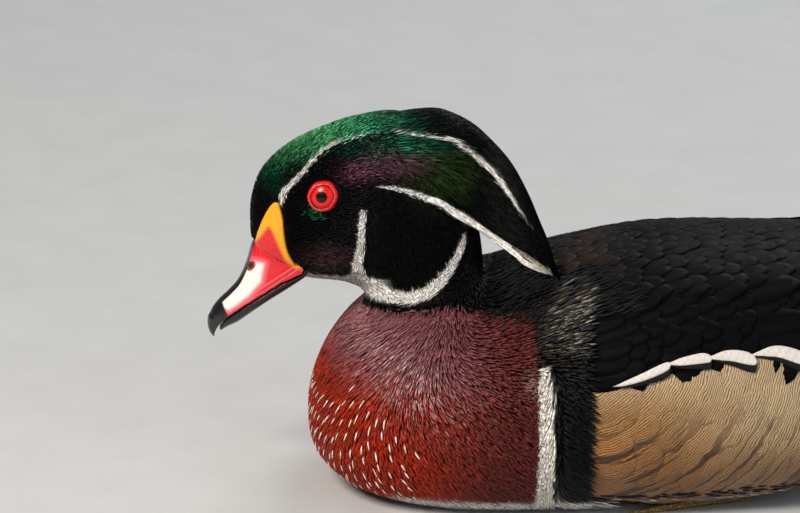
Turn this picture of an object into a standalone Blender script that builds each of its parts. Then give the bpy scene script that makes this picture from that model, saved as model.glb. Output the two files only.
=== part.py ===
"""A life-size still model of a drake wood duck, resting on its belly with its feet tucked under.

Metres, +Z up, +X towards the bill, +Y to the bird's left. The origin is on the floor, on the flat
of the belly under the middle of the body. The trunk, neck and head are one lofted outline, parted
by thin cuts; wings, flank, shoulder and tail feathers lie over it in tiers of vanes.
"""

from typing import NamedTuple

import bmesh
import bpy
import numpy as np
from mathutils import Euler, Matrix, Vector

GAP, CUT = 0.0003, 0.00045
LEFT, RIGHT = 1, -1
SIDES = (("left", LEFT), ("right", RIGHT))


class Station(NamedTuple):
    """One cross-section of a loft: its back and belly points, half width and section shape."""

    dorsal_x: float
    dorsal_z: float
    ventral_x: float
    ventral_z: float
    half_width: float
    fullness: float = 2.0
    low: float = 0.0


# From the root of the tail, along the trunk, round the breast and neck and over the head to the bill.
BODY = (
    Station(-0.1780, 0.0790, -0.1780, 0.0560, 0.0190),
    Station(-0.1600, 0.0822, -0.1600, 0.0410, 0.0310),
    Station(-0.1350, 0.0855, -0.1350, 0.0220, 0.0435, 2.1, -0.03),
    Station(-0.1050, 0.0885, -0.1050, 0.0040, 0.0540, 2.2, -0.06),
    Station(-0.0700, 0.0901, -0.0700, -0.0040, 0.0610, 2.25, -0.08),
    Station(-0.0350, 0.0900, -0.0300, -0.0060, 0.0640, 2.3, -0.08),
    Station(-0.0080, 0.0856, 0.0100, -0.0060, 0.0640, 2.3, -0.08),
    Station(0.0100, 0.0812, 0.0450, -0.0050, 0.0615, 2.25, -0.06),
    Station(0.0190, 0.0787, 0.0720, 0.0010, 0.0580, 2.2, -0.04),
    Station(0.0230, 0.0772, 0.0870, 0.0130, 0.0540, 2.2),
    Station(0.0255, 0.0766, 0.0895, 0.0280, 0.0490, 2.2),
    Station(0.0268, 0.0768, 0.0860, 0.0430, 0.0420, 2.1),
    Station(0.0274, 0.0780, 0.0790, 0.0560, 0.0330),
    Station(0.0275, 0.0802, 0.0715, 0.0640, 0.0235),
    Station(0.0278, 0.0852, 0.0695, 0.0690, 0.0175),
    Station(0.0290, 0.0930, 0.0715, 0.0725, 0.0170),
    Station(0.0320, 0.1040, 0.0745, 0.0740, 0.0178),
    Station(0.0370, 0.1160, 0.0775, 0.0750, 0.0184),
    Station(0.0448, 0.1282, 0.0805, 0.0754, 0.0185),
    Station(0.0565, 0.1355, 0.0830, 0.0757, 0.0180),
    Station(0.0710, 0.1356, 0.0850, 0.0758, 0.0170),
    Station(0.0850, 0.1316, 0.0870, 0.0760, 0.0155),
    Station(0.0970, 0.1256, 0.0888, 0.0762, 0.0132),
    Station(0.1057, 0.1173, 0.0900, 0.0764, 0.0110),
    Station(0.1096, 0.1070, 0.0910, 0.0766, 0.0094),
    Station(0.1102, 0.0970, 0.0916, 0.0768, 0.0084),
    Station(0.1096, 0.0900, 0.0920, 0.0770, 0.0076),
)
# Rows of BODY where the trunk gives way to the neck, the neck to the head, where the head ends, and
# between which the trunk dips behind the shoulder.
TORSO_END, NECK_END = 13.2, 15.6
HEAD_END = len(BODY) - 1
SHOULDER_ROWS = (5.7, 7.2)

# The folded wings' outer face: over the rump it stays high and narrows to the crossed wing tips.
WRAP = (
    Station(-0.2220, 0.0950, -0.2220, 0.0880, 0.0110),
    Station(-0.2000, 0.0960, -0.2000, 0.0790, 0.0190),
    Station(-0.1700, 0.0955, -0.1700, 0.0560, 0.0320),
    Station(-0.1400, 0.0942, -0.1400, 0.0330, 0.0440, 2.1, -0.03),
    Station(-0.1050, 0.0920, -0.1050, 0.0100, 0.0545, 2.2, -0.06),
) + BODY[4:]

# The crest, from the crown of the head back and down to its tip, which lies over the left shoulder.
CREST = (
    Station(0.0610, 0.1367, 0.0520, 0.1110, 0.0178),
    Station(0.0515, 0.1375, 0.0450, 0.1080, 0.0177),
    Station(0.0420, 0.1366, 0.0391, 0.1045, 0.0171),
    Station(0.0320, 0.1319, 0.0335, 0.1000, 0.0155),
    Station(0.0251, 0.1268, 0.0284, 0.0955, 0.0138),
    Station(0.0182, 0.1200, 0.0228, 0.0927, 0.0120),
    Station(0.0129, 0.1109, 0.0172, 0.0905, 0.0103),
    Station(0.0092, 0.1022, 0.0122, 0.0887, 0.0082),
    Station(0.0059, 0.0940, 0.0079, 0.0860, 0.0058),
    Station(0.0026, 0.0832, 0.0033, 0.0820, 0.0012),
)
CREST_LEAN = 0.0240
CREST_LEAN_FROM, CREST_LEAN_TO = 0.0340, 0.0

# How deep the trunk lies under the outline where wings, shoulders and flanks are built over it: the x
# and the angles where that depth sets in, the rump with its narrower top, and the slabs' two faces.
COAT_DEPTH = 0.0076
COAT_FRONT, COAT_REAR = (0.0155, 0.0075), (-0.1680, -0.1520)
COAT_TOP, COAT_LOW = (2, 9), (138, 129)
RUMP, RUMP_TOP = (-0.0980, -0.1160), 25
SLAB_FLOOR, SLAB_TOP = -0.0068, -0.0046

# Eye: its centre on the side of the head as seen from the side, ball, lids and socket.
EYE_X, EYE_Z = 0.0854, 0.1107
EYE_RADIUS, EYE_SINK = 0.0070, 0.0051
LID_INNER, LID_OUTER, LID_THICK = 0.0043, 0.0061, 0.0008

# Tail: its root and rise, its core, and the feathers' length, spread and layers.
TAIL_ROOT = (-0.1800, 0.0, 0.0680)
TAIL_RISE = 15.0
TAIL_LENGTH, TAIL_SPREAD = 0.1100, 13.0
TAIL_HALF_ROOT, TAIL_ARCH = 0.0100, 9.0
TAIL_CORE, TAIL_TOP, TAIL_LAYER = 0.0260, 0.0022, 0.00095
TAIL_PAIRS = 6
PLUMES, PLUME_X = 5, -0.1515

# Legs, folded under the belly: the heel, the root of the toes, and the toes' lengths and angles.
HEEL = (-0.0950, 0.0330, 0.0095)
TOE_ROOT = (-0.0620, 0.0340, 0.0034)
TARSUS_RADIUS = 0.0026
TOES = ((0.0400, -17.0), (0.0480, 0.0), (0.0430, 17.0))
TOE_RADIUS, WEB_THICK = 0.0021, 0.0010
HIND_TOE = 0.0110

# The hollow under the belly for one leg and foot: x, its inner and outer side, and its roof.
BAY_TOP = 0.0138
BAY = (
    (-0.1020, 0.0270, 0.0390, BAY_TOP),
    (-0.0850, 0.0260, 0.0400, BAY_TOP),
    (-0.0740, 0.0240, 0.0420, 0.0090),
    (-0.0560, 0.0230, 0.0450, 0.0064),
    (-0.0110, 0.0185, 0.0510, 0.0056),
)

# The bill's cross-sections: its ridge, the edge of the gape, and half its width, from the face out.
UPPER_BILL = (
    Station(0.1076, 0.0912, 0.0911, 0.0813, 0.0076, 4.4),
    Station(0.1096, 0.0888, 0.0926, 0.0793, 0.0080, 4.0),
    Station(0.1117, 0.0819, 0.0990, 0.0765, 0.0078, 2.8),
    Station(0.1146, 0.0757, 0.1055, 0.0723, 0.0073, 2.2),
    Station(0.1182, 0.0715, 0.1115, 0.0685, 0.0070),
    Station(0.1216, 0.0682, 0.1165, 0.0652, 0.0066),
    Station(0.1242, 0.0646, 0.1200, 0.0623, 0.0055),
    Station(0.1252, 0.0605, 0.1220, 0.0590, 0.0037),
    Station(0.1246, 0.0568, 0.1229, 0.0562, 0.0020),
    Station(0.1236, 0.0548, 0.1229, 0.0547, 0.0009),
)
LOWER_BILL = (
    Station(0.0909, 0.0809, 0.0896, 0.0788, 0.0062),
    Station(0.0924, 0.0789, 0.0911, 0.0768, 0.0068),
    Station(0.0987, 0.0760, 0.0975, 0.0722, 0.0068),
    Station(0.1052, 0.0718, 0.1035, 0.0684, 0.0066),
    Station(0.1112, 0.0680, 0.1095, 0.0642, 0.0062),
    Station(0.1160, 0.0646, 0.1146, 0.0606, 0.0055),
    Station(0.1194, 0.0617, 0.1186, 0.0586, 0.0044),
    Station(0.1213, 0.0586, 0.1209, 0.0571, 0.0026),
)
BILL_LOBE_REAR = ((0.0937, 0.0812), (0.0974, 0.0885), (0.0988, 0.0960), (0.0994, 0.1020), (0.1008, 0.1072))
BILL_LOBE_FRONT = ((0.1085, 0.0899), (0.1084, 0.0928), (0.1067, 0.0990), (0.1041, 0.1047), (0.1022, 0.1072))
NOSTRIL = (0.1104, 0.0817)
NOSTRIL_RADII = (0.0009, 0.0014, 0.0019)


class LockTier(NamedTuple):
    """A ring of crest locks: the rows of CREST where they root and end, how many go round, how far
    the ring is turned, and how deep they root and how high they end, against the crest's outline."""

    root: float
    tip: float
    count: int
    turn: float
    depth: float
    top: float = 0.0


LOCK_TIERS = (
    LockTier(0.15, 4.9, 7, 0.0, 0.0024),
    LockTier(2.2, 7.2, 7, 0.5, 0.0050, -0.0001),
    LockTier(4.0, 8.9, 6, 0.0, 0.0050, -0.0003),
)
LOCK_WIDTH, LOCK_TILT = 1.3, 0.0006
CREST_OPEN_ANGLE = 135
CREST_CORE, CREST_CORE_SINK = (0.05, 5.0), (0.0016, 0.0042)


class Zone(NamedTuple):
    """A stretch of one side of the trunk: its front and rear, and its upper and lower angles."""

    front: float
    rear: float
    upper: tuple
    lower: tuple
    stations: tuple = BODY


FLANK_UPPER, FLANK_LOWER = (86, 84.5, 79.5, 76.5, 74.5, 74.5, 77, 82), (118, 123, 126, 126, 126, 124, 118, 108)
WING_UPPER, WING_LOWER = (40, 39, 38, 37, 33, 27, 26, 32), (79, 75, 69, 67, 66, 70, 84, 100)
FLANK = Zone(0.0040, -0.1500, FLANK_UPPER, FLANK_LOWER)
WING = Zone(0.0040, -0.2150, WING_UPPER, WING_LOWER, WRAP)
SCAPULARS = Zone(-0.0030, -0.1150, (12, 12, 12, 12, 12), (35, 34, 33, 31.5, 26))


class Tier(NamedTuple):
    """A row of vanes side by side: where it roots, its reach, and how high its ends lie."""

    x: float
    length: float
    count: int
    low: float
    high: float
    span: tuple = (0.0, 1.0)
    stagger: float = 0.0
    width: float = 1.5
    shares: tuple = (0.0, 0.35, 0.75, 1.0)


# How wide a vane is along its length, as shares of its length and of its width.
BLADE = ((0.0, 0.30, 0.65, 0.88, 1.0), (0.55, 0.90, 1.0, 0.72, 0.12))
VANE_THICK, VANE_STEP = 0.0006, 0.00092
LONG = (0.0, 0.25, 0.55, 0.85, 1.0)
FLANK_TIERS = (
    Tier(0.0030, 0.0340, 4, -0.0022, -0.0002),
    Tier(-0.0180, 0.0500, 4, -0.0056, -0.0002, (0.0, 0.98)),
    Tier(-0.0440, 0.0500, 4, -0.0056, -0.0002, (0.03, 1.0)),
    Tier(-0.0700, 0.0500, 4, -0.0056, -0.0002, (0.0, 0.98)),
    Tier(-0.0960, 0.0500, 4, -0.0056, -0.0002, (0.03, 1.0)),
)
WING_TIERS = (
    Tier(0.0025, 0.0220, 3, -0.0022, -0.0002),
    Tier(-0.0090, 0.0280, 4, -0.0052, -0.0002, (0.03, 1.0)),
    Tier(-0.0240, 0.0350, 4, -0.0056, -0.0004),
    Tier(-0.0430, 0.0900, 2, -0.0056, 0.0006, (0.0, 0.42), 0.0, 1.4, LONG),
    Tier(-0.0430, 0.0590, 3, -0.0056, -0.0006, (0.42, 1.0), 0.005),
    Tier(-0.0820, 0.0990, 4, -0.0056, -0.0002, (0.22, 1.0), 0.011, 1.7, LONG),
)
SCAPULAR_TIERS = (
    Tier(-0.0040, 0.0330, 3, -0.0022, -0.0002),
    Tier(-0.0240, 0.0440, 3, -0.0056, -0.0002, (0.05, 1.0)),
    Tier(-0.0480, 0.0560, 3, -0.0056, -0.0002),
)


def spline(table, at):
    """Catmull-Rom curve through evenly spaced rows of a table, read at an array of row numbers."""
    table = np.asarray(table, float)
    last = len(table) - 1
    at = np.clip(np.asarray(at, float), 0, last)
    row = np.minimum(at.astype(int), last - 1)
    share = (at - row)[..., None]
    before, a, b, after = (table[np.clip(row + step, 0, last)] for step in (-1, 0, 1, 2))
    bend = 2 * before - 5 * a + 4 * b - after + share * (3 * (a - b) + after - before)
    return a + 0.5 * share * (b - before + share * bend)


def ramp(value, start, end):
    """0 at start, 1 at end, with a smooth rise between."""
    share = np.clip((np.asarray(value, float) - start) / (end - start), 0, 1)
    return share * share * (3 - 2 * share)


def unit(vectors):
    """The vectors at length 1."""
    return vectors / np.maximum(np.linalg.norm(vectors, axis=-1, keepdims=True), 1e-12)


def loft(row, angle, stations=BODY):
    """A point of a loft. The angle runs from 0 on the back, over the left side, to 180 below."""
    shape = spline(stations, row)
    dorsal, ventral = shape[..., 0:2], shape[..., 2:4]
    width, fullness, low = shape[..., 4], shape[..., 5], shape[..., 6]
    cos, sin = np.cos(np.radians(angle)), np.sin(np.radians(angle))
    rise = np.sign(cos) * np.abs(cos) ** (2 / fullness)
    across = width * np.sign(sin) * np.abs(sin) ** (2 / fullness) * (1 + low * cos)
    middle, half = (dorsal + ventral) / 2, (dorsal - ventral) / 2
    ahead, up = middle[..., 0] + half[..., 0] * rise, middle[..., 1] + half[..., 1] * rise
    return np.stack([ahead, across, up], -1)


def outward(row, angle, stations=BODY):
    """Unit normal of a loft, by the cross product of its two tangents."""
    row, angle = np.broadcast_arrays(np.asarray(row, float), np.asarray(angle, float))
    low, high = np.clip(row - 0.02, 0, len(stations) - 1), np.clip(row + 0.02, 0, len(stations) - 1)
    along = loft(high, angle, stations) - loft(low, angle, stations)
    around = loft(row, angle + 0.5, stations) - loft(row, angle - 0.5, stations)
    forward = 1 if stations[-1].dorsal_x > stations[0].dorsal_x else -1
    return unit(np.cross(along, around)) * forward


def row_at(x, angle, stations=BODY):
    """The row where a trunk loft reaches x at that angle, by halving."""
    x, angle = np.broadcast_arrays(np.asarray(x, float), np.asarray(angle, float))
    low, high = np.zeros(x.shape), np.full(x.shape, 11.5)
    for _ in range(22):
        middle = (low + high) / 2
        ahead = loft(middle, angle, stations)[..., 0] < x
        low, high = np.where(ahead, middle, low), np.where(ahead, high, middle)
    return (low + high) / 2


def over(x, angle, height, stations=BODY):
    """The point at that height over a trunk loft where it reaches x."""
    row = row_at(x, angle, stations)
    return loft(row, angle, stations) + np.asarray(height)[..., None] * outward(row, angle, stations)


def beside(x, z, height=0.0):
    """The point of the left side of the head seen at x, z from the side, at that height over it."""
    x, z = np.broadcast_arrays(np.asarray(x, float), np.asarray(z, float))
    low, high = np.full(x.shape, 13.0), np.full(x.shape, float(HEAD_END))
    for _ in range(22):
        middle = (low + high) / 2
        shape = spline(BODY, middle)
        reach = shape[..., 0:2] - shape[..., 2:4]
        turn = reach[..., 0] * (z - shape[..., 3]) - reach[..., 1] * (x - shape[..., 2])
        low, high = np.where(turn < 0, middle, low), np.where(turn < 0, high, middle)
    row = (low + high) / 2
    shape = spline(BODY, row)
    reach = shape[..., 0:2] - shape[..., 2:4]
    offset = np.stack([x, z], -1) - shape[..., 2:4]
    rise = np.clip(2 * (offset * reach).sum(-1) / (reach**2).sum(-1) - 1, -0.999, 0.999)
    angle = np.degrees(np.arccos(np.sign(rise) * np.abs(rise) ** (shape[..., 5] / 2)))
    return loft(row, angle) + np.asarray(height)[..., None] * outward(row, angle)


def coat_depth(x, angle):
    """How deep the trunk's own surface lies under the outline, where feathers are built over it."""
    angle = np.abs(angle)
    front = ramp(x, *COAT_FRONT)
    rear = ramp(x, *COAT_REAR)
    top = ramp(angle - RUMP_TOP * ramp(x, *RUMP), *COAT_TOP)
    return COAT_DEPTH * front * rear * top * ramp(angle, *COAT_LOW)


def finish(name, colour, roughness, metallic=0.0):
    """A Principled material of one linear colour."""
    material = bpy.data.materials.new(name)
    material.use_nodes = True
    shader = material.node_tree.nodes["Principled BSDF"]
    shader.inputs["Base Color"].default_value = (*colour, 1.0)
    shader.inputs["Roughness"].default_value = roughness
    shader.inputs["Metallic"].default_value = metallic
    return material


def add(name, points, faces, material=None):
    """A new object from points and faces, smooth, with its normals pointing out."""
    mesh = bpy.data.meshes.new(name)
    mesh.from_pydata(np.asarray(points).reshape(-1, 3).tolist(), [], faces)
    shape = bmesh.new()
    shape.from_mesh(mesh)
    bmesh.ops.recalc_face_normals(shape, faces=shape.faces[:])
    shape.to_mesh(mesh)
    shape.free()
    mesh.shade_smooth()
    mesh.set_sharp_from_angle(angle=np.radians(40))
    item = bpy.data.objects.new(name, mesh)
    bpy.context.collection.objects.link(item)
    if material:
        mesh.materials.append(material)
    return item


def tube_faces(rings, around):
    """Triangles of a tube of rings, with both ends closed by a face."""
    faces = []
    for ring in range(rings - 1):
        for step in range(around):
            a, b = ring * around + step, ring * around + (step + 1) % around
            faces += [(a, b, b + around), (a, b + around, a + around)]
    return faces + [tuple(range(around)), tuple(range((rings - 1) * around, rings * around))]


def ring_faces(rings, around):
    """Triangles of a closed ring: the last ring of points joins the first."""
    faces = tube_faces(rings, around)[:-2]
    last = (rings - 1) * around
    for step in range(around):
        after = (step + 1) % around
        faces += [(last + step, last + after, after), (last + step, after, step)]
    return faces


def box_faces(rows, columns):
    """Triangles of a closed sheet: an outer and an inner grid of points, split alike, and the rim."""
    cells = rows * columns
    faces = []
    for row in range(rows - 1):
        for column in range(columns - 1):
            a = row * columns + column
            for b in (a, a + cells):
                faces += [(b, b + 1, b + columns + 1), (b, b + columns + 1, b + columns)]
    rim = [column for column in range(columns)]
    rim += [row * columns + columns - 1 for row in range(1, rows)]
    rim += [(rows - 1) * columns + column for column in range(columns - 2, -1, -1)]
    rim += [row * columns for row in range(rows - 2, 0, -1)]
    for a, b in zip(rim, rim[1:] + rim[:1]):
        faces += [(a, b, b + cells), (a, b + cells, a + cells)]
    return faces


def sheet(name, outer, inner, material=None):
    """A closed sheet between two grids of points."""
    rows, columns = outer.shape[:2]
    return add(name, np.stack([outer, inner]), box_faces(rows, columns), material)


def evaluated(item):
    """Applies an object's modifiers."""
    mesh = bpy.data.meshes.new_from_object(item.evaluated_get(bpy.context.evaluated_depsgraph_get()))
    item.modifiers.clear()
    item.data = mesh


def combine(item, operation, others, solver="EXACT"):
    """Joins closed objects to an object, or cuts them from it, and removes them."""
    group = bpy.data.collections.new("operands")
    bpy.context.scene.collection.children.link(group)
    for other in others:
        for home in other.users_collection:
            home.objects.unlink(other)
        group.objects.link(other)
    change = item.modifiers.new("combine", "BOOLEAN")
    change.operation, change.solver = operation, solver
    change.operand_type, change.collection = "COLLECTION", group
    evaluated(item)
    for other in others:
        bpy.data.objects.remove(other)
    bpy.data.collections.remove(group)
    keep_largest(item)


def keep_largest(item):
    """Leaves only the closed surface that holds the most."""
    shape = bmesh.new()
    shape.from_mesh(item.data)
    left = set(shape.faces)
    shells = []
    while left:
        shell, edge = set(), [left.pop()]
        while edge:
            face = edge.pop()
            shell.add(face)
            sides = [side for side in face.edges if len(side.link_faces) == 2]
            near = {other for side in sides for other in side.link_faces} & left
            left -= near
            edge += near
        shells.append(shell)
    shells.sort(key=lambda shell: -abs(shell_volume(shell)))
    scraps = [face for shell in shells[1:] for face in shell]
    bmesh.ops.delete(shape, geom=scraps, context="FACES")
    shape.to_mesh(item.data)
    shape.free()


def shell_volume(shell):
    """The volume that a set of faces closes off."""
    total = 0.0
    for face in shell:
        points = [vertex.co for vertex in face.verts]
        for a, b in zip(points[1:], points[2:]):
            total += points[0].dot(a.cross(b)) / 6
    return total


def lofted(name, rows, around, material=None, grow=0.0, stations=BODY, sink=None):
    """A closed stretch of a loft, grown along its normals, or sunk by a depth that varies."""
    angle = np.arange(around) * 360 / around
    row, angle = np.meshgrid(rows, angle, indexing="ij")
    signed = (angle + 180) % 360 - 180
    points = loft(row, angle, stations)
    rise = grow + 0 * row if sink is None else -sink(points[..., 0], signed)
    points = points + rise[..., None] * outward(row, angle, stations)
    if sink is not None:
        points[..., 2] = np.maximum(points[..., 2], 0)
    return add(name, points, tube_faces(len(rows), around), material)


def part_row(cut, side):
    """The row just before or just after a thin cut between two nodes."""
    step = 0.02
    apart = np.linalg.norm(loft(cut + step, 90) - loft(cut - step, 90)) / (2 * step)
    return cut + side * GAP / apart


def make_torso(material):
    """The trunk: breast, belly and back, sunk under the wings and flanks, flat where it rests."""
    shoulder = np.linspace(*SHOULDER_ROWS, 8)
    rows = [np.linspace(0, shoulder[0], 13)[:-1], shoulder, np.linspace(shoulder[-1], TORSO_END, 13)[1:-1]]
    rows = np.append(np.concatenate(rows), part_row(TORSO_END, -1))
    return lofted("torso", rows, 26, material, sink=coat_depth)


# Rings of the neck and of the head; the crest's cutter runs through both.
NECK_ROWS = np.linspace(part_row(TORSO_END, 1), part_row(NECK_END, -1), 7)
HEAD_ROWS = np.append(part_row(NECK_END, 1), np.linspace(16, HEAD_END, 19))


def arch(stations, rows, around, flat, grow=0.0):
    """Rings of a bill half: an arch from edge to edge, closed by a flat or shallow palate."""
    shape = spline(stations, rows)[:, None, :]
    height = unit(shape[..., 0:2] - shape[..., 2:4]) * grow
    shape = np.concatenate([shape[..., 0:2] + height, shape[..., 2:4] - height, shape[..., 4:] + grow], -1)
    turn = np.radians(np.linspace(-90, 90, around))[None, :]
    ridge, edge = shape[..., 0:2], shape[..., 2:4]
    rise = np.cos(turn)[..., None] ** 0.85
    middle = edge + (ridge - edge) * rise
    across = shape[..., 4] * np.sign(turn) * np.abs(np.sin(turn)) ** (2 / shape[..., 5])
    top = np.stack([middle[..., 0], across, middle[..., 1]], -1)
    shares = np.linspace(1, -1, 4)[None, 1:-1]
    low = edge + flat * (ridge - edge)
    under = np.stack([low[..., 0] + 0 * shares, shape[..., 4] * shares, low[..., 1] + 0 * shares], -1)
    return np.concatenate([top, under], 1)


def bill_lobes(grow=0.0):
    """The plates of the upper bill that run up both sides of the forehead."""
    steps = np.linspace(0, 4, 6)
    rear, front = spline(BILL_LOBE_REAR, steps), spline(BILL_LOBE_FRONT, steps)
    along = unit(front - rear)
    rear, front = rear - grow * along, front + grow * along
    for edge in (rear, front):
        edge[0] += grow * unit(edge[0] - edge[1])
        edge[-1] += grow * unit(edge[-1] - edge[-2])
    shares = np.linspace(0, 1, 3)[None, :, None]
    place = rear[:, None] + shares * (front - rear)[:, None]
    proud = 0.0007 * np.sin(np.pi * (0.12 + 0.76 * shares[..., 0])) + 0 * place[..., 0]
    outer = beside(place[..., 0], place[..., 1], proud + grow)
    inner = beside(place[..., 0], place[..., 1], -0.0012 - grow)
    plates = []
    for side in (LEFT, RIGHT):
        flip = np.array([1, side, 1])
        plates.append(sheet("lobe", outer * flip, inner * flip))
    return plates


def upper_bill(material=None, grow=0.0):
    """The arched body of the upper bill, from its root in the face to the hooked nail."""
    rings = arch(UPPER_BILL, np.append(np.arange(0, 8.1, 0.9), 9), 9, 0.12, grow)
    rings[0] -= grow * unit(rings[1, 5] - rings[0, 5])
    return add("bill_upper", rings, tube_faces(*rings.shape[:2]), material)


def lower_bill(material=None, grow=0.0):
    """The lower bill, a shallow trough under the upper one."""
    flipped = [(s.ventral_x, s.ventral_z, s.dorsal_x, s.dorsal_z, *s[4:]) for s in LOWER_BILL]
    rings = arch(flipped, np.arange(0, 7.1, 0.7), 9, 0.0, grow)
    rings[0] -= grow * unit(rings[1, 4] - rings[0, 4])
    return add("bill_lower", rings, tube_faces(*rings.shape[:2]), material)


def make_upper_bill(material):
    """The upper bill with its side lobes and nostrils."""
    bill = upper_bill(material)
    combine(bill, "UNION", bill_lobes())
    combine(bill, "DIFFERENCE", [nostril(LEFT), nostril(RIGHT)])
    return bill


def nostril(side):
    """A cutter for one nostril, lying along the ridge high on the bill's side."""
    bpy.ops.mesh.primitive_uv_sphere_add(segments=10, ring_count=6, radius=1)
    cutter = bpy.context.object
    cutter.data.transform(placing(NOSTRIL[0] - 0.0004, side * 0.0044, NOSTRIL[1], NOSTRIL_RADII, 36))
    return cutter


def placing(x, y, z, radii, pitch=0.0):
    """A matrix that scales a unit sphere, pitches it about Y and puts it in place."""
    turn = Euler((0, np.radians(pitch), 0)).to_matrix().to_4x4()
    return Matrix.Translation(Vector((x, y, z))) @ turn @ Matrix.Diagonal((*radii, 1))


def eye_frame(side):
    """The eye's centre and the axis that it looks along."""
    surface = beside(np.array([EYE_X]), np.array([EYE_Z]))[0]
    axis = unit(surface - beside(np.array([EYE_X]), np.array([EYE_Z]), -1e-3)[0])
    flip = np.array([1, side, 1])
    return (surface - EYE_SINK * axis) * flip, axis * flip


def turned(profile, centre, axis, around):
    """Rings of points turned about an axis, from a profile of (radius, height) pairs."""
    across = unit(np.cross(axis, [0, 0, 1]))
    up = np.cross(across, axis)
    angle = np.radians(np.arange(around) * 360 / around)[None, :, None]
    profile = np.asarray(profile)[:, None, :]
    spoke = np.cos(angle) * across + np.sin(angle) * up
    return centre + profile[..., 1:] * axis + profile[..., :1] * spoke


def ball_profile(radius, start, end, count):
    """Radius and height along an arc of a ball, between two angles from its axis."""
    angle = np.radians(np.linspace(start, end, count))
    return np.stack([radius * np.sin(angle), radius * np.cos(angle)], -1)


def make_eye(name, side, material):
    """The eyeball, with its buried half shallow."""
    centre, axis = eye_frame(side)
    front, back = ball_profile(EYE_RADIUS, 5, 84, 5), ball_profile(EYE_RADIUS * 0.8, 140, 170, 2)
    rings = turned(np.concatenate([front, back]), centre, axis, 14)
    return add(name, rings, tube_faces(*rings.shape[:2]), material)


def make_lids(name, side, material):
    """The ring of the lids, a band that lies on the eyeball."""
    centre, axis = eye_frame(side)
    low, high = EYE_RADIUS + GAP, EYE_RADIUS + GAP + LID_THICK
    inner = np.degrees(np.arcsin(LID_INNER / low))
    outer = np.degrees(np.arcsin(LID_OUTER / low))
    under = ball_profile(low, outer, inner, 3)
    upper = ball_profile(high, inner + 3, outer - 2, 3)
    rings = turned(np.concatenate([under, upper]), centre, axis, 16)
    return add(name, rings, ring_faces(*rings.shape[:2]), material)


def socket(side):
    """A cutter for one eye: the ball and the lids with a gap round them, open to the outside."""
    centre, axis = eye_frame(side)
    low = ball_profile(EYE_RADIUS + CUT, 170, 70, 5)
    mouth = np.array([[LID_OUTER + 2 * GAP, 0.0034], [LID_OUTER + 2 * GAP, 0.0120], [0.0005, 0.0120]])
    rings = turned(np.concatenate([low, mouth]), centre, axis, 14)
    return add("socket", rings, tube_faces(*rings.shape[:2]))


def crest_lean(x):
    """How far to the left the crest hangs, growing towards its tip."""
    return CREST_LEAN * ramp(x, CREST_LEAN_FROM, CREST_LEAN_TO)


def crest_lock(tier, angle):
    """One flat, tapered lock that follows the crest's face, rising from its core to its outline."""
    shares, across = np.meshgrid((0.0, 0.35, 0.75, 1.0), (-1, 0, 1), indexing="ij")
    row = tier.root + (tier.tip - tier.root) * shares
    spread = LOCK_WIDTH * 180 / tier.count * np.interp(shares, *BLADE)
    turn = angle + across * spread
    rise = tier.top - (tier.depth + tier.top) * (1 - shares) ** 1.8
    rise = rise - across * LOCK_TILT * (1 - 0.6 * shares)
    thick = VANE_THICK * (0.62 - 0.3 * shares)
    faces = []
    for height in (rise + thick, rise - thick):
        points = loft(row, turn, CREST) + height[..., None] * outward(row, turn, CREST)
        points[..., 1] += crest_lean(points[..., 0])
        faces.append(points)
    return sheet("lock", *faces)


def make_crest(material):
    """The crest: flat tapered locks over a core that ends well short of their tips."""
    rows = np.linspace(*CREST_CORE, 8)
    sink = np.interp(rows, (0, 2.5), CREST_CORE_SINK)
    crest = lofted("crest", rows, 12, material, grow=-sink[:, None], stations=CREST)
    for vertex in crest.data.vertices:
        vertex.co.y += crest_lean(vertex.co.x)
    locks = []
    for tier in LOCK_TIERS:
        for number in range(tier.count):
            angle = (number + tier.turn) * 360 / tier.count
            if tier.root > 3 or abs((angle + 180) % 360 - 180) < CREST_OPEN_ANGLE:
                locks.append(crest_lock(tier, angle))
    combine(crest, "UNION", locks)
    cutter = lofted("head_cutter", np.append(NECK_ROWS, HEAD_ROWS), 22, grow=CUT)
    combine(crest, "DIFFERENCE", [cutter])
    return crest


def profile(values, share):
    """A value that changes along a piece, read between its listed values."""
    return np.interp(share, np.linspace(0, 1, len(values)), values)


def blanket(name, zone, side, inner, outer, rows, columns, material=None, until=1.0):
    """A closed sheet over a zone of the trunk, between two heights that vary from front to rear."""
    along, across = np.meshgrid(np.linspace(0, until, rows), np.linspace(0, 1, columns), indexing="ij")
    x, angle = zone_place(zone, along, across)
    flip = np.array([1, side, 1])
    outside = over(x, angle, profile(outer, along / until), zone.stations) * flip
    inside = over(x, angle, profile(inner, along / until), zone.stations) * flip
    return sheet(name, outside, inside, material)


def zone_place(zone, along, across):
    """Where a zone's shares along, from its front, and across, from its top, lie: x and angle."""
    x = zone.front + (zone.rear - zone.front) * along
    top, bottom = profile(zone.upper, along), profile(zone.lower, along)
    return x, top + (bottom - top) * across


def strap(path, normal, width, thick, tilt=0.0):
    """A closed thin blade along a path: at each point two edges, each with a top and an underside."""
    path, count = np.asarray(path), len(path)
    along = unit(np.gradient(path, axis=0))
    across = unit(np.cross(normal, along))
    up = unit(np.cross(along, across))
    lean = across + tilt * up
    reach = np.broadcast_to(np.asarray(width), (count,))[:, None, None] / 2
    edges = np.stack([-reach[:, 0] * lean, reach[:, 0] * lean], 1)
    layer = np.broadcast_to(np.asarray(thick), (count,))[:, None, None] / 2
    layers = np.stack([layer * up[:, None], -layer * up[:, None]], 2)
    return path[:, None, None] + edges[:, :, None] + layers


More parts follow.
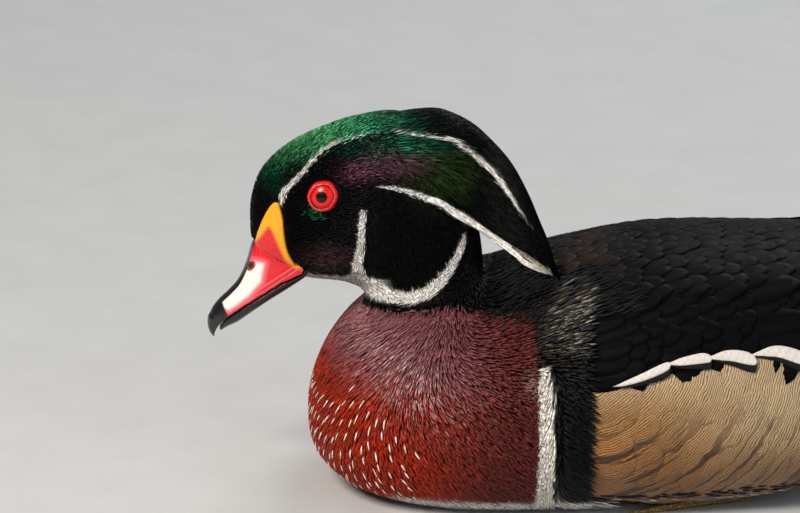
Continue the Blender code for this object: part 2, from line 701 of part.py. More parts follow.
def strap_faces(count):
    """Triangles of a blade, split alike on both faces."""
    faces = [(0, 1, 3), (0, 3, 2)]
    for point in range(count - 1):
        a, b = point * 4, point * 4 + 4
        faces += [(a, b, b + 2), (a, b + 2, a + 2), (a + 1, b + 3, b + 1), (a + 1, a + 3, b + 3)]
        faces += [(a, a + 1, b + 1), (a, b + 1, b), (a + 2, b + 3, a + 3), (a + 2, b + 2, b + 3)]
    end = (count - 1) * 4
    return faces + [(end, end + 3, end + 1), (end, end + 2, end + 3)]


def tier_vanes(zone, tier, side):
    """The vanes of one tier, each leaning so that its lower edge lies over the next one down."""
    start, end = tier.span
    across = start + (end - start) * (np.arange(tier.count) + 0.5) / tier.count
    shares = np.array(tier.shares)
    vanes = []
    for number, place in enumerate(across):
        length = tier.length + tier.stagger * number
        along = (zone.front - tier.x + shares * length) / (zone.front - zone.rear)
        x, angle = zone_place(zone, along, place)
        _, beyond = zone_place(zone, along, place + (end - start) / tier.count)
        row = row_at(x, angle, zone.stations)
        path = over(x, angle, tier.low + (tier.high - tier.low) * shares, zone.stations)
        pitch = np.linalg.norm(path - over(x, beyond, tier.low, zone.stations), axis=-1)
        pitch = np.interp(0.75, shares, np.minimum(pitch, 0.02))
        width = tier.width * pitch * np.interp(shares, *BLADE)
        thick = VANE_THICK * (1 - 0.45 * shares)
        blade = strap(path, outward(row, angle, zone.stations), width, thick, -VANE_STEP / pitch)
        vanes.append(add("vane", blade * np.array([1, side, 1]), strap_faces(len(shares))))
    return vanes


def feathered(name, zone, tiers, side, until, columns, material):
    """A slab over a zone's front with tiers of vanes that root in it and lie over each other."""
    rise = (-0.0012, -0.0040, SLAB_TOP, SLAB_TOP, SLAB_TOP, SLAB_TOP)
    item = blanket(name, zone, side, (SLAB_FLOOR,) * 2, rise, 7, columns, material, until)
    combine(item, "UNION", [vane for tier in tiers for vane in tier_vanes(zone, tier, side)])
    return item


def fan_point(out, aside, height=0.0):
    """A point of the tail: distance out from its root, share aside from -1 to 1, and height."""
    turn = np.radians(TAIL_SPREAD) * aside
    ahead = out * np.cos(turn)
    y = TAIL_HALF_ROOT * aside + out * np.sin(turn)
    rise = np.radians(TAIL_RISE)
    up = height - TAIL_ARCH * y**2
    x = TAIL_ROOT[0] - ahead * np.cos(rise) + up * np.sin(rise)
    return np.stack([x, y, TAIL_ROOT[2] + ahead * np.sin(rise) + up * np.cos(rise)], -1)


def tail_feather(aside, height, length, width, root=0.0040):
    """One tail feather or covert, lying along the fan at its own height."""
    shares = np.array((0, 0.35, 0.8, 1.0))
    out = root + length * shares
    path = fan_point(out, aside + 0 * out, height + 0 * out)
    normal = unit(fan_point(out, aside + 0 * out, height + 0.001) - path)
    blade = strap(path, normal, width * np.interp(shares, *BLADE), VANE_THICK * (1 - 0.4 * shares))
    return add("feather", blade, strap_faces(len(shares)))


def make_tail(material):
    """The tail: a short core, seven pairs of feathers in layers, and coverts over and under them."""
    out, aside = np.meshgrid(np.linspace(0, TAIL_CORE, 3), np.linspace(-1, 1, 5), indexing="ij")
    top = 0.0058 - 0.0050 * out / TAIL_CORE
    tail = sheet("tail", fan_point(out, aside, top), fan_point(out, aside, -top - 0.0004), material)
    feathers = []
    for pair in range(TAIL_PAIRS):
        aside = (pair + 0.5) / TAIL_PAIRS
        length = TAIL_LENGTH * (1 - 0.16 * aside**2)
        for side in (LEFT, RIGHT):
            height = TAIL_TOP - TAIL_LAYER * (pair + 1) + (TAIL_LAYER if side + pair == 1 else 0)
            feathers.append(tail_feather(side * aside, height, length, 0.0135))
    for place in (-1, 0, 1):
        height = TAIL_TOP + TAIL_LAYER * (2 - abs(place))
        feathers.append(tail_feather(place * 0.5, height, 0.052 - 0.006 * abs(place), 0.0150))
        height = -0.0048 - TAIL_LAYER * (1 - abs(place))
        feathers.append(tail_feather(place * 0.45, height, 0.062, 0.0150))
    combine(tail, "UNION", feathers)
    return tail


def make_plumes(name, side, material):
    """The long fine feathers at the rear of the flank, on a short core."""
    root = over(np.array([PLUME_X]), np.array([86.0]), np.array([-0.0015]))[0]
    flip = np.array([1, side, 1])
    share = np.linspace(0, 1, 4)
    normal = np.array([0.2, 1, 0])
    path = root + share[:, None] * np.array([-0.014, -0.001, 0.003])
    core = strap(path, normal, 0.0110, 0.0020 - 0.0006 * share) * flip
    item = add(name, core, strap_faces(4), material)
    plumes = []
    for number in range(PLUMES):
        spread = number / (PLUMES - 1) - 0.5
        start = root + np.array([-0.0030, 0, spread * 0.008])
        reach = np.array([-0.042 + 0.010 * spread, -0.006, 0.010 + 0.022 * spread])
        bend = np.array([0, 0.002, 0.003]) * np.sin(np.pi * share)[:, None]
        path = start + share[:, None] * reach + bend
        blade = strap(path, normal, 0.0030 * (1 - 0.75 * share), 0.0006 * (1 - 0.4 * share))
        plumes.append(add("plume", blade * flip, strap_faces(4)))
    combine(item, "UNION", plumes)
    return item


def rod(path, radii, around, floor=None):
    """Rings of a round, tapered rod along a path."""
    path = np.asarray(path)
    along = unit(np.gradient(path, axis=0))
    across = unit(np.cross(along, [0, 0.2, 1]))
    up = np.cross(across, along)
    angle = np.radians(np.arange(around) * 360 / around)[None, :, None]
    rings = path[:, None] + np.asarray(radii)[:, None, None] * (
        np.cos(angle) * across[:, None] + np.sin(angle) * up[:, None]
    )
    if floor is not None:
        rings[..., 2] = np.maximum(rings[..., 2], floor)
    return rings


def make_leg(name, side, material):
    """The shank of one leg, laid forward under the belly from the heel to the toes."""
    top = (HEEL[0] + 0.0012, HEEL[1], BAY_TOP - GAP)
    end = np.array(TOE_ROOT) + (-0.0022, 0, 0.0014)
    path = np.array([top, HEEL, HEEL + (end - HEEL) * 0.12, HEEL + (end - HEEL) * 0.5, end])
    rings = rod(path, np.array([1.1, 1.25, 1, 0.85, 0.8]) * TARSUS_RADIUS, 10)
    rings[0, :, 2] = BAY_TOP - GAP
    rings = rings * np.array([1, side, 1])
    return add(name, rings, tube_faces(*rings.shape[:2]), material)


def toe_path(length, turn, count=5):
    """Centre line of one toe from the root of the toes forward, flat on the floor to its claw."""
    share = np.linspace(0, 1, count)
    turn = np.radians(turn)
    x = TOE_ROOT[0] + share * length * np.cos(turn)
    y = TOE_ROOT[1] + share * length * np.sin(turn)
    z = TOE_RADIUS * (0.95 - 0.55 * share)
    return np.stack([x, y, z], -1)


def make_foot(name, side, material):
    """One webbed foot, flat on the floor: three long toes, the web between them and the hind toe."""
    tips = [toe_path(length, turn)[-2] for length, turn in TOES]
    sag = [(tips[0] + tips[1]) / 2 - (0.004, 0, 0), (tips[1] + tips[2]) / 2 - (0.004, 0, 0)]
    edge = [np.array(TOE_ROOT) - (0.003, 0, 0), tips[0], sag[0], tips[1], sag[1], tips[2]]
    rim = np.array([[(p[0], p[1], 0), (p[0], p[1], WEB_THICK)] for p in edge])
    flip = np.array([1, side, 1])
    count = len(edge)
    faces = [tuple(range(0, 2 * count, 2)), tuple(range(1, 2 * count, 2))]
    for step in range(count):
        a, b = 2 * step, 2 * ((step + 1) % count)
        faces += [(a, b, b + 1), (a, b + 1, a + 1)]
    foot = add(name, rim * flip, faces, material)
    toes = []
    for length, turn in TOES:
        path = toe_path(length, turn)
        radii = TOE_RADIUS * np.array([1.15, 1, 0.88, 0.7, 0.12])
        rings = rod(path, radii, 6, floor=0.0) * flip
        toes.append(add("toe", rings, tube_faces(*rings.shape[:2])))
    back = np.array([(0.002, -0.001, -0.0008), (-0.008, -0.004, -0.0018), (-HIND_TOE, -0.005, -0.0026)])
    back = back + TOE_ROOT
    rings = rod(back, TOE_RADIUS * np.array([0.7, 0.5, 0.12]), 6, floor=0.0) * flip
    toes.append(add("toe", rings, tube_faces(*rings.shape[:2])))
    combine(foot, "UNION", toes)
    return foot


def bay(side):
    """A cutter for the hollow under the belly in which one leg and foot lie."""
    rings = [[(x, a, -0.002), (x, b, -0.002), (x, b, top), (x, a, top)] for x, a, b, top in BAY]
    rings = np.array(rings) * np.array([1, side, 1])
    return add("bay", rings, tube_faces(len(BAY), 4))


def main():
    """Clears the scene and builds every node of the duck."""
    for item in list(bpy.data.objects):
        bpy.data.objects.remove(item)
    green = finish("iridescent green feathers", (0.02, 0.12, 0.07), 0.35, 0.3)
    dark = finish("black feathers", (0.012, 0.012, 0.014), 0.45)
    chestnut = finish("chestnut feathers", (0.22, 0.03, 0.012), 0.55)
    buff = finish("buff flank feathers", (0.50, 0.32, 0.15), 0.6)
    maroon = finish("maroon plumes", (0.16, 0.02, 0.04), 0.6)
    white = finish("white feathers", (0.80, 0.78, 0.72), 0.6)
    red = finish("red horn", (0.75, 0.03, 0.04), 0.4)
    pale = finish("pale horn", (0.70, 0.55, 0.45), 0.4)
    iris = finish("red iris", (0.60, 0.01, 0.01), 0.1)
    skin = finish("yellow leg skin", (0.45, 0.30, 0.08), 0.55)

    torso = make_torso(chestnut)
    combine(torso, "DIFFERENCE", [bay(LEFT), bay(RIGHT)])
    lofted("neck", NECK_ROWS, 22, white)
    head = lofted("head", HEAD_ROWS, 22, green)
    make_upper_bill(red)
    lower_bill(pale)
    bills = [upper_bill(grow=CUT), lower_bill(grow=CUT)]
    combine(head, "DIFFERENCE", bills + bill_lobes(CUT) + [socket(LEFT), socket(RIGHT)])
    make_crest(green)
    make_tail(dark)
    for word, side in SIDES:
        make_eye("eye_" + word, side, iris)
        make_lids("eyelids_" + word, side, red)
        feathered("wing_" + word, WING, WING_TIERS, side, 0.46, 5, dark)
        feathered("scapulars_" + word, SCAPULARS, SCAPULAR_TIERS, side, 0.62, 4, dark)
        feathered("flank_" + word, FLANK, FLANK_TIERS, side, 0.76, 5, buff)
        make_plumes("side_plumes_" + word, side, maroon)
        make_leg("leg_" + word, side, skin)
        make_foot("foot_" + word, side, skin)


main()
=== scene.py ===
"""The looks of the drake wood duck: plumage, horn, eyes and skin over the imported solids.

Metres, +Z up, +X towards the bill, +Y to the bird's left, as in the solids. Marking tables are in
millimetres. Every coat is made of small closed blades or vanes laid over the same lofts as the solids.
"""

import logging
from collections.abc import Callable
from dataclasses import dataclass
from enum import Enum
from functools import lru_cache

import bpy
import numpy as np
from bpy.types import Material, Node, NodeSocket, NodeTree
from mathutils import Matrix


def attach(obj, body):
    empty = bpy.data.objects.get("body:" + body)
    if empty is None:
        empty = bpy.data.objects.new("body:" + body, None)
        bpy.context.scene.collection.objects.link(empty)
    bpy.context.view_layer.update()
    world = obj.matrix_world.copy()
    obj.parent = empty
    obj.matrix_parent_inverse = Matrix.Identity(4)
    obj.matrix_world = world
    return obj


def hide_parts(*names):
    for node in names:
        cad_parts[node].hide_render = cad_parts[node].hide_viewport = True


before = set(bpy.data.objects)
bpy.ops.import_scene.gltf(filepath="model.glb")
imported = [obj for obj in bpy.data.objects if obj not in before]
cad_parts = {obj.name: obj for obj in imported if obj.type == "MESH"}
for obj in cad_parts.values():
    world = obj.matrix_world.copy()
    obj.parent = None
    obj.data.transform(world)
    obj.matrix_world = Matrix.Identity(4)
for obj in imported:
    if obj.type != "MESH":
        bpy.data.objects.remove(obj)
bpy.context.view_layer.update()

log = logging.getLogger("duck")
Array = np.ndarray
MM = 0.001
GOLDEN = (0.7548776662466927, 0.5698402909980532)  # steps of the evenly spread two-number sequence
LEAST_ROW, LEAST_DEGREE = 2e-4, 3e-5  # least metres to a row and to a degree, at the lofts' tips
BARBS_SCALE = 10  # the Barbs map counts in decimetres
PERIOD = 6.283  # radians from one bar or barb to the next


# ---- lofts shared with the solids

BODY = (
    (-0.1780, 0.0790, -0.1780, 0.0560, 0.0190, 2, 0),
    (-0.1600, 0.0822, -0.1600, 0.0410, 0.0310, 2, 0),
    (-0.1350, 0.0855, -0.1350, 0.0220, 0.0435, 2.1, -0.03),
    (-0.1050, 0.0885, -0.1050, 0.0040, 0.0540, 2.2, -0.06),
    (-0.0700, 0.0901, -0.0700, -0.0040, 0.0610, 2.25, -0.08),
    (-0.0350, 0.0900, -0.0300, -0.0060, 0.0640, 2.3, -0.08),
    (-0.0080, 0.0856, 0.0100, -0.0060, 0.0640, 2.3, -0.08),
    (0.0100, 0.0812, 0.0450, -0.0050, 0.0615, 2.25, -0.06),
    (0.0190, 0.0787, 0.0720, 0.0010, 0.0580, 2.2, -0.04),
    (0.0230, 0.0772, 0.0870, 0.0130, 0.0540, 2.2, 0.0),
    (0.0255, 0.0766, 0.0895, 0.0280, 0.0490, 2.2, 0.0),
    (0.0268, 0.0768, 0.0860, 0.0430, 0.0420, 2.1, 0.0),
    (0.0274, 0.0780, 0.0790, 0.0560, 0.0330, 2, 0),
    (0.0275, 0.0802, 0.0715, 0.0640, 0.0235, 2, 0),
    (0.0278, 0.0852, 0.0695, 0.0690, 0.0175, 2, 0),
    (0.0290, 0.0930, 0.0715, 0.0725, 0.0170, 2, 0),
    (0.0320, 0.1040, 0.0745, 0.0740, 0.0178, 2, 0),
    (0.0370, 0.1160, 0.0775, 0.0750, 0.0184, 2, 0),
    (0.0448, 0.1282, 0.0805, 0.0754, 0.0185, 2, 0),
    (0.0565, 0.1366, 0.0830, 0.0757, 0.0180, 2, 0),
    (0.0710, 0.1358, 0.0850, 0.0758, 0.0170, 2, 0),
    (0.0850, 0.1316, 0.0870, 0.0760, 0.0155, 2, 0),
    (0.0970, 0.1256, 0.0888, 0.0762, 0.0132, 2, 0),
    (0.1057, 0.1173, 0.0900, 0.0764, 0.0110, 2, 0),
    (0.1096, 0.1070, 0.0910, 0.0766, 0.0094, 2, 0),
    (0.1102, 0.0970, 0.0916, 0.0768, 0.0084, 2, 0),
    (0.1096, 0.0900, 0.0920, 0.0770, 0.0076, 2, 0),
)
WRAP = (
    (-0.2220, 0.0950, -0.2220, 0.0880, 0.0110, 2, 0),
    (-0.2000, 0.0960, -0.2000, 0.0790, 0.0190, 2, 0),
    (-0.1700, 0.0955, -0.1700, 0.0560, 0.0320, 2, 0),
    (-0.1400, 0.0942, -0.1400, 0.0330, 0.0440, 2.1, -0.03),
    (-0.1050, 0.0920, -0.1050, 0.0100, 0.0545, 2.2, -0.06),
) + BODY[4:]
CREST = (
    (0.0610, 0.1367, 0.0520, 0.1110, 0.0178, 2, 0),
    (0.0515, 0.1375, 0.0450, 0.1080, 0.0177, 2, 0),
    (0.0420, 0.1366, 0.0391, 0.1045, 0.0171, 2, 0),
    (0.0320, 0.1319, 0.0335, 0.1000, 0.0155, 2, 0),
    (0.0251, 0.1268, 0.0284, 0.0955, 0.0138, 2, 0),
    (0.0182, 0.1200, 0.0228, 0.0927, 0.0120, 2, 0),
    (0.0129, 0.1109, 0.0172, 0.0905, 0.0103, 2, 0),
    (0.0092, 0.1022, 0.0122, 0.0887, 0.0082, 2, 0),
    (0.0059, 0.0940, 0.0079, 0.0860, 0.0058, 2, 0),
    (0.0026, 0.0832, 0.0033, 0.0820, 0.0012, 2, 0),
)
UPPER_BILL = (
    (0.1076, 0.0912, 0.0911, 0.0813, 0.0071, 4.4),
    (0.1096, 0.0888, 0.0926, 0.0793, 0.0080, 4.0),
    (0.1117, 0.0819, 0.0990, 0.0765, 0.0078, 2.8),
    (0.1146, 0.0757, 0.1055, 0.0723, 0.0073, 2.2),
    (0.1182, 0.0715, 0.1115, 0.0685, 0.0070, 2.0),
    (0.1216, 0.0682, 0.1165, 0.0652, 0.0066, 2.0),
    (0.1242, 0.0646, 0.1200, 0.0623, 0.0055, 2.0),
    (0.1252, 0.0605, 0.1220, 0.0590, 0.0037, 2.0),
    (0.1246, 0.0568, 0.1229, 0.0562, 0.0020, 2.0),
    (0.1236, 0.0548, 0.1229, 0.0547, 0.0009, 2.0),
)
LOWER_BILL = (
    (0.0896, 0.0788, 0.0909, 0.0809, 0.0062),
    (0.0911, 0.0768, 0.0924, 0.0789, 0.0068),
    (0.0975, 0.0722, 0.0987, 0.0760, 0.0068),
    (0.1035, 0.0684, 0.1052, 0.0718, 0.0066),
    (0.1095, 0.0642, 0.1112, 0.0680, 0.0062),
    (0.1146, 0.0606, 0.1160, 0.0646, 0.0055),
    (0.1186, 0.0586, 0.1194, 0.0617, 0.0044),
    (0.1209, 0.0571, 0.1213, 0.0586, 0.0026),
)
LOBE_REAR = ((0.0937, 0.0812), (0.0974, 0.0885), (0.0988, 0.0960), (0.0994, 0.1020), (0.1008, 0.1072))
LOBE_FRONT = ((0.1085, 0.0899), (0.1084, 0.0928), (0.1067, 0.0990), (0.1041, 0.1047), (0.1022, 0.1072))
TORSO_END, NECK_END, HEAD_END = 13.2, 16, 26  # rows of BODY
EYE_X, EYE_Z, EYE_RADIUS, EYE_SINK = 0.0854, 0.1107, 0.0070, 0.0051
TAIL_ROOT, TAIL_RISE, TAIL_SPREAD = (-0.1800, 0.0, 0.0680), 15.0, 13.0
TAIL_HALF_ROOT, TAIL_ARCH = 0.0100, 9.0


class Side(Enum):
    """One side of the bird and the sign of its Y."""

    LEFT = 1
    RIGHT = -1

    @property
    def word(self) -> str:
        """The side's name as node names end with it."""
        return self.name.lower()

    @property
    def flip(self) -> Array:
        """Factors that carry a left-hand point to this side."""
        return np.array([1.0, self.value, 1.0])


def spline(table: object, at: Array) -> Array:
    """Catmull-Rom curve through evenly spaced rows of a table.

    Args:
        table: Rows of numbers.
        at: Row numbers, whole or between.

    Returns:
        For each row number, the row's numbers, the cubic through its four neighbours.
    """
    table = np.asarray(table, float)
    last = len(table) - 1
    at = np.clip(np.asarray(at, float), 0, last)
    row = np.minimum(at.astype(int), last - 1)
    share = (at - row)[..., None]
    before, a, b, after = (table[np.clip(row + step, 0, last)] for step in (-1, 0, 1, 2))
    bend = 2 * before - 5 * a + 4 * b - after + share * (3 * (a - b) + after - before)
    return a + 0.5 * share * (b - before + share * bend)


def ramp(value: Array, start: float, end: float) -> Array:
    """0 at start, 1 at end, with the smooth rise 3s^2 - 2s^3 between."""
    share = np.clip((np.asarray(value, float) - start) / (end - start), 0, 1)
    return share * share * (3 - 2 * share)


def unit(vectors: Array) -> Array:
    """The vectors at length 1."""
    return vectors / np.maximum(np.linalg.norm(vectors, axis=-1, keepdims=True), 1e-12)


def crest_lean(x: Array) -> Array:
    """How far to the left the crest hangs at x, growing towards its tip."""
    return 0.0240 * ramp(x, 0.0340, 0.0)


def from_back(angle: Array) -> Array:
    """Degrees from the middle of the back, whichever way round."""
    return np.abs((angle + 180) % 360 - 180)


def halve(shape: tuple, low: float, high: float, early: Callable) -> Array:
    """Where a test turns from true to false.

    Args:
        shape: Shape of the answer.
        low: A number where the test holds.
        high: A number where it doesn't.
        early: The test, of an array of numbers.

    Returns:
        The numbers, after 22 halvings of the stretch between.
    """
    low, high = np.full(shape, float(low)), np.full(shape, float(high))
    for _ in range(22):
        middle = (low + high) / 2
        before = early(middle)
        low, high = np.where(before, middle, low), np.where(before, high, middle)
    return (low + high) / 2


@dataclass(frozen=True)
class Loft:
    """A surface lofted over stations: an oval from a back point to a belly point at each row.

    The angle runs from 0 on the back over the left side to 180 below. Feathers lie towards falling
    rows where flow is -1 and towards rising rows where it is +1.
    """

    stations: tuple
    flow: int = -1
    leans: bool = False

    def point(self, row: Array, angle: Array) -> Array:
        """Points of the surface: middle + half axis * cos + width * sin, with rounded-square powers.

        Args:
            row: Row numbers; past either end the surface runs on straight.
            angle: Degrees round from the back.

        Returns:
            The points, without the crest's lean.
        """
        last = len(self.stations) - 1
        inside = np.clip(row, 0, last)
        point = self._inside(inside, angle)
        beyond = np.asarray(row - inside)[..., None]
        if np.any(beyond):
            inner = np.clip(inside, 0.05, last - 0.05)
            step = (self._inside(inner + 0.05, angle) - self._inside(inner - 0.05, angle)) / 0.1
            point = point + beyond * step
        return point

    def _inside(self, row: Array, angle: Array) -> Array:
        """Points of the surface at rows between its ends."""
        shape = spline(self.stations, row)
        dorsal, ventral = shape[..., 0:2], shape[..., 2:4]
        width, fullness, low = shape[..., 4], shape[..., 5], shape[..., 6]
        cos, sin = np.cos(np.radians(angle)), np.sin(np.radians(angle))
        rise = np.sign(cos) * np.abs(cos) ** (2 / fullness)
        across = width * np.sign(sin) * np.abs(sin) ** (2 / fullness) * (1 + low * cos)
        middle, half = (dorsal + ventral) / 2, (dorsal - ventral) / 2
        ahead, up = middle[..., 0] + half[..., 0] * rise, middle[..., 1] + half[..., 1] * rise
        return np.stack([ahead, across, up], -1)

    def frame(self, row: Array, angle: Array) -> tuple[Array, ...]:
        """Tangents by small differences.

        Args:
            row: Row numbers.
            angle: Degrees round from the back.

        Returns:
            The point, its outward unit normal, metres to a row and metres to a degree.
        """
        row, angle = np.broadcast_arrays(np.asarray(row, float), np.asarray(angle, float))
        along, around = self.tangents(row, angle)
        normal = unit(np.cross(along, around)) * -self.flow
        return self.point(row, angle), normal, np.linalg.norm(along, axis=-1), np.linalg.norm(around, axis=-1)

    def tangents(self, row: Array, angle: Array) -> tuple[Array, Array]:
        """Vectors along the rows, for one row, and round the loft, for one degree."""
        along = (self.point(row + 0.03, angle) - self.point(row - 0.03, angle)) / 0.06
        return along, self.point(row, angle + 0.5) - self.point(row, angle - 0.5)

    def lay_of(self, row: Array, angle: Array, way: Array) -> Array:
        """How far a way over the surface turns from the feathers' flow.

        The way is laid flat on the surface and split into its shares along and round the loft.

        Args:
            row: Row numbers.
            angle: Degrees round from the back.
            way: A vector for each place.

        Returns:
            Radians, as the lay of a tuft.
        """
        along, around = (unit(vectors) for vectors in self.tangents(row, angle))
        along = along * self.flow
        slant = (along * around).sum(-1)
        ahead, aside = (way * along).sum(-1), (way * around).sum(-1)
        return np.arctan2(aside - slant * ahead, ahead - slant * aside)

    def over(self, row: Array, angle: Array, height: Array) -> Array:
        """The point at a height over the surface."""
        point, normal, _, _ = self.frame(row, angle)
        return point + np.asarray(height)[..., None] * normal

    def leaned(self, points: Array) -> Array:
        """The points carried aside by the crest's lean, where this loft leans."""
        if self.leans:
            points = points + np.stack([0 * points[..., 0], crest_lean(points[..., 0]), 0 * points[..., 0]], -1)
        return points

    def row_at(self, x: Array, angle: Array) -> Array:
        """The row where the trunk reaches x at that angle."""
        x, angle = np.broadcast_arrays(np.asarray(x, float), np.asarray(angle, float))
        return halve(x.shape, -1, 11.5, lambda row: self.point(row, angle)[..., 0] < x)


# In the coat the crest is fuller below than its core in the solids, where the white band edges it.
FULL_CREST = tuple((*row[:5], full, low) for row, full, low in zip(
    CREST, (2.0, 2.1, 2.3, 2.6, 2.6, 2.6, 2.6, 2.4, 2.2, 2.0), (0, 0, -0.06, -0.12, -0.15, -0.15, -0.15, -0.1, 0, 0)
))
TRUNK, FOLDED, HELMET = Loft(BODY), Loft(WRAP), Loft(FULL_CREST, 1, True)


def beside(x: Array, z: Array) -> tuple[Array, Array]:
    """Where the left side of the head is seen at x, z from the side: the row by halving, then arc cosine.

    Args:
        x: Metres forward.
        z: Metres up.

    Returns:
        The trunk loft's row and angle there.
    """
    x, z = np.broadcast_arrays(np.asarray(x, float), np.asarray(z, float))

    def short(row: Array) -> Array:
        """Whether the row's line from belly to back doesn't reach the place yet, by a cross product."""
        shape = spline(BODY, row)
        reach = shape[..., 0:2] - shape[..., 2:4]
        return reach[..., 0] * (z - shape[..., 3]) - reach[..., 1] * (x - shape[..., 2]) < 0

    row = halve(x.shape, 13, HEAD_END, short)
    shape = spline(BODY, row)
    reach = shape[..., 0:2] - shape[..., 2:4]
    offset = np.stack([x, z], -1) - shape[..., 2:4]
    rise = np.clip(2 * (offset * reach).sum(-1) / (reach**2).sum(-1) - 1, -0.999, 0.999)
    return row, np.degrees(np.arccos(np.sign(rise) * np.abs(rise) ** (shape[..., 5] / 2)))


# ---- colour and node helpers


def linear(code: str) -> Array:
    """An sRGB hex colour as linear red, green and blue."""
    value = np.array([int(code[i : i + 2], 16) for i in (1, 3, 5)]) / 255
    return np.where(value <= 0.04045, value / 12.92, ((value + 0.055) / 1.055) ** 2.4)


def tone(code: str, gleam: float = 0.0) -> Array:
    """A plumage colour: linear red, green, blue and how metallic its gloss is."""
    return np.append(linear(code), gleam)


def blend(base: Array, over: Array, share: Array) -> Array:
    """Mixes one plumage colour over another by a share from 0 to 1."""
    return base + (over - base) * np.asarray(share)[..., None]


def shaded(tint: Array, factor: Array) -> Array:
    """Plumage colours times a factor for each, their gloss as it was."""
    factor = np.asarray(factor)[..., None]
    return np.concatenate([tint[..., :3] * factor, tint[..., 3:] + 0 * factor], -1)


def stroke(x: Array, z: Array, path: object) -> Array:
    """Distance outside a line of varying width: the least over its stretches, negative inside.

    Args:
        x: Millimetres forward.
        z: Millimetres up.
        path: Rows of x, z and half width in millimetres.

    Returns:
        Millimetres from the line's border.
    """
    best = np.full(np.shape(x), 1e9)
    path = np.asarray(path, float)
    for start, end in zip(path[:-1], path[1:]):
        reach = end[:2] - start[:2]
        share = ((x - start[0]) * reach[0] + (z - start[1]) * reach[1]) / (reach @ reach)
        share = np.clip(share, 0, 1)
        away = np.hypot(x - start[0] - share * reach[0], z - start[1] - share * reach[1])
        best = np.minimum(best, away - start[2] - share * (end[2] - start[2]))
    return best


def follow(loft: Loft, row: Array, angle: Array, lay: Array, paths: tuple) -> Array:
    """Turns the tufts on a marking's line, and close beside it, to lie along it.

    Args:
        loft: The surface that the tufts stand on.
        row: Row numbers of their roots.
        angle: Angles of their roots.
        lay: Their lay, radians.
        paths: The lines, as stroke takes them.

    Returns:
        The new lay.
    """
    point = loft.point(row, angle)
    x, z = point[..., 0] / MM, point[..., 2] / MM
    best, way = np.full(x.shape, 1e9), np.zeros((*x.shape, 3))
    for path in paths:
        for start, end in zip(path[:-1], path[1:]):
            away = stroke(x, z, (start, end))
            near = away < best
            best = np.where(near, away, best)
            way = np.where(near[..., None], unit(np.array([end[0] - start[0], 0.0, end[1] - start[1]])), way)
    share = ramp(best, 1.8, 0.5)
    return lay * (1 - share) + (loft.lay_of(row, angle, way) + 0.5 * lay) * share


def places_under(
    loft: Loft, row: Array, angle: Array, points: Array
) -> tuple[Array, Array]:
    """Row and angle under the points of tufts, from each root's place and the outline's slopes there.

    The move from the root is split along the two slopes by least squares.

    Args:
        loft: The outline.
        row: Roots' rows.
        angle: Roots' angles.
        points: Each tuft's points.

    Returns:
        Rows and angles, one for each point.
    """
    along = ((loft.point(row + 0.05, angle) - loft.point(row - 0.05, angle)) / 0.1)[:, None]
    around = ((loft.point(row, angle + 1) - loft.point(row, angle - 1)) / 2)[:, None]
    move = points - loft.point(row, angle)[:, None]
    aa, bb, ab = (along**2).sum(-1), (around**2).sum(-1), (along * around).sum(-1)
    am, bm = (along * move).sum(-1), (around * move).sum(-1)
    scale = np.maximum(aa * bb - ab**2, 1e-18)
    return row[:, None] + (am * bb - bm * ab) / scale, angle[:, None] + (bm * aa - am * ab) / scale


def inside(x: Array, z: Array, corners: object) -> Array:
    """Signed distance to a closed outline in millimetres, negative inside, by edge crossings."""
    corners = np.asarray(corners, float)
    edge = stroke(x, z, np.column_stack([np.vstack([corners, corners[:1]]), np.zeros(len(corners) + 1)]))
    within = np.zeros(np.shape(x), bool)
    for (ax, az), (bx, bz) in zip(corners, np.roll(corners, -1, 0)):
        crosses = (az > z) != (bz > z)
        within ^= crosses & (x < (bx - ax) * (z - az) / (bz - az + 1e-12) + ax)
    return np.where(within, -edge, edge)


def fill_sockets(tree: NodeTree, node: Node, inputs: dict) -> None:
    """Gives a node's sockets their values and links.

    Args:
        tree: The material's node tree.
        node: The node.
        inputs: Socket names or numbers, each with a value, an output, or a node for its first output.
    """
    for name, value in inputs.items():
        if isinstance(value, Node):
            value = value.outputs[0]
        if isinstance(value, NodeSocket):
            tree.links.new(value, node.inputs[name])
        else:
            node.inputs[name].default_value = value


def add_node(tree: NodeTree, kind: str, inputs: dict | None = None, **settings: object) -> Node:
    """Adds a node with its settings, values and links.

    Args:
        tree: The material's node tree.
        kind: The node's type, without the word ShaderNode.
        inputs: What goes into its sockets, as fill_sockets takes it.
        settings: Properties of the node.

    Returns:
        The new node.
    """
    node = tree.nodes.new("ShaderNode" + kind)
    for name, value in settings.items():
        setattr(node, name, value)
    fill_sockets(tree, node, inputs or {})
    return node


def principled(name: str, **constants: object) -> tuple[Material, NodeTree, Node]:
    """A new material with constants on its shader's own sockets, their names with spaces for _."""
    material = bpy.data.materials.new(name)
    material.use_nodes = True
    tree = material.node_tree
    shader = tree.nodes["Principled BSDF"]
    for key, value in constants.items():
        shader.inputs[key.replace("_", " ")].default_value = value
    return material, tree, shader


# ---- finishes


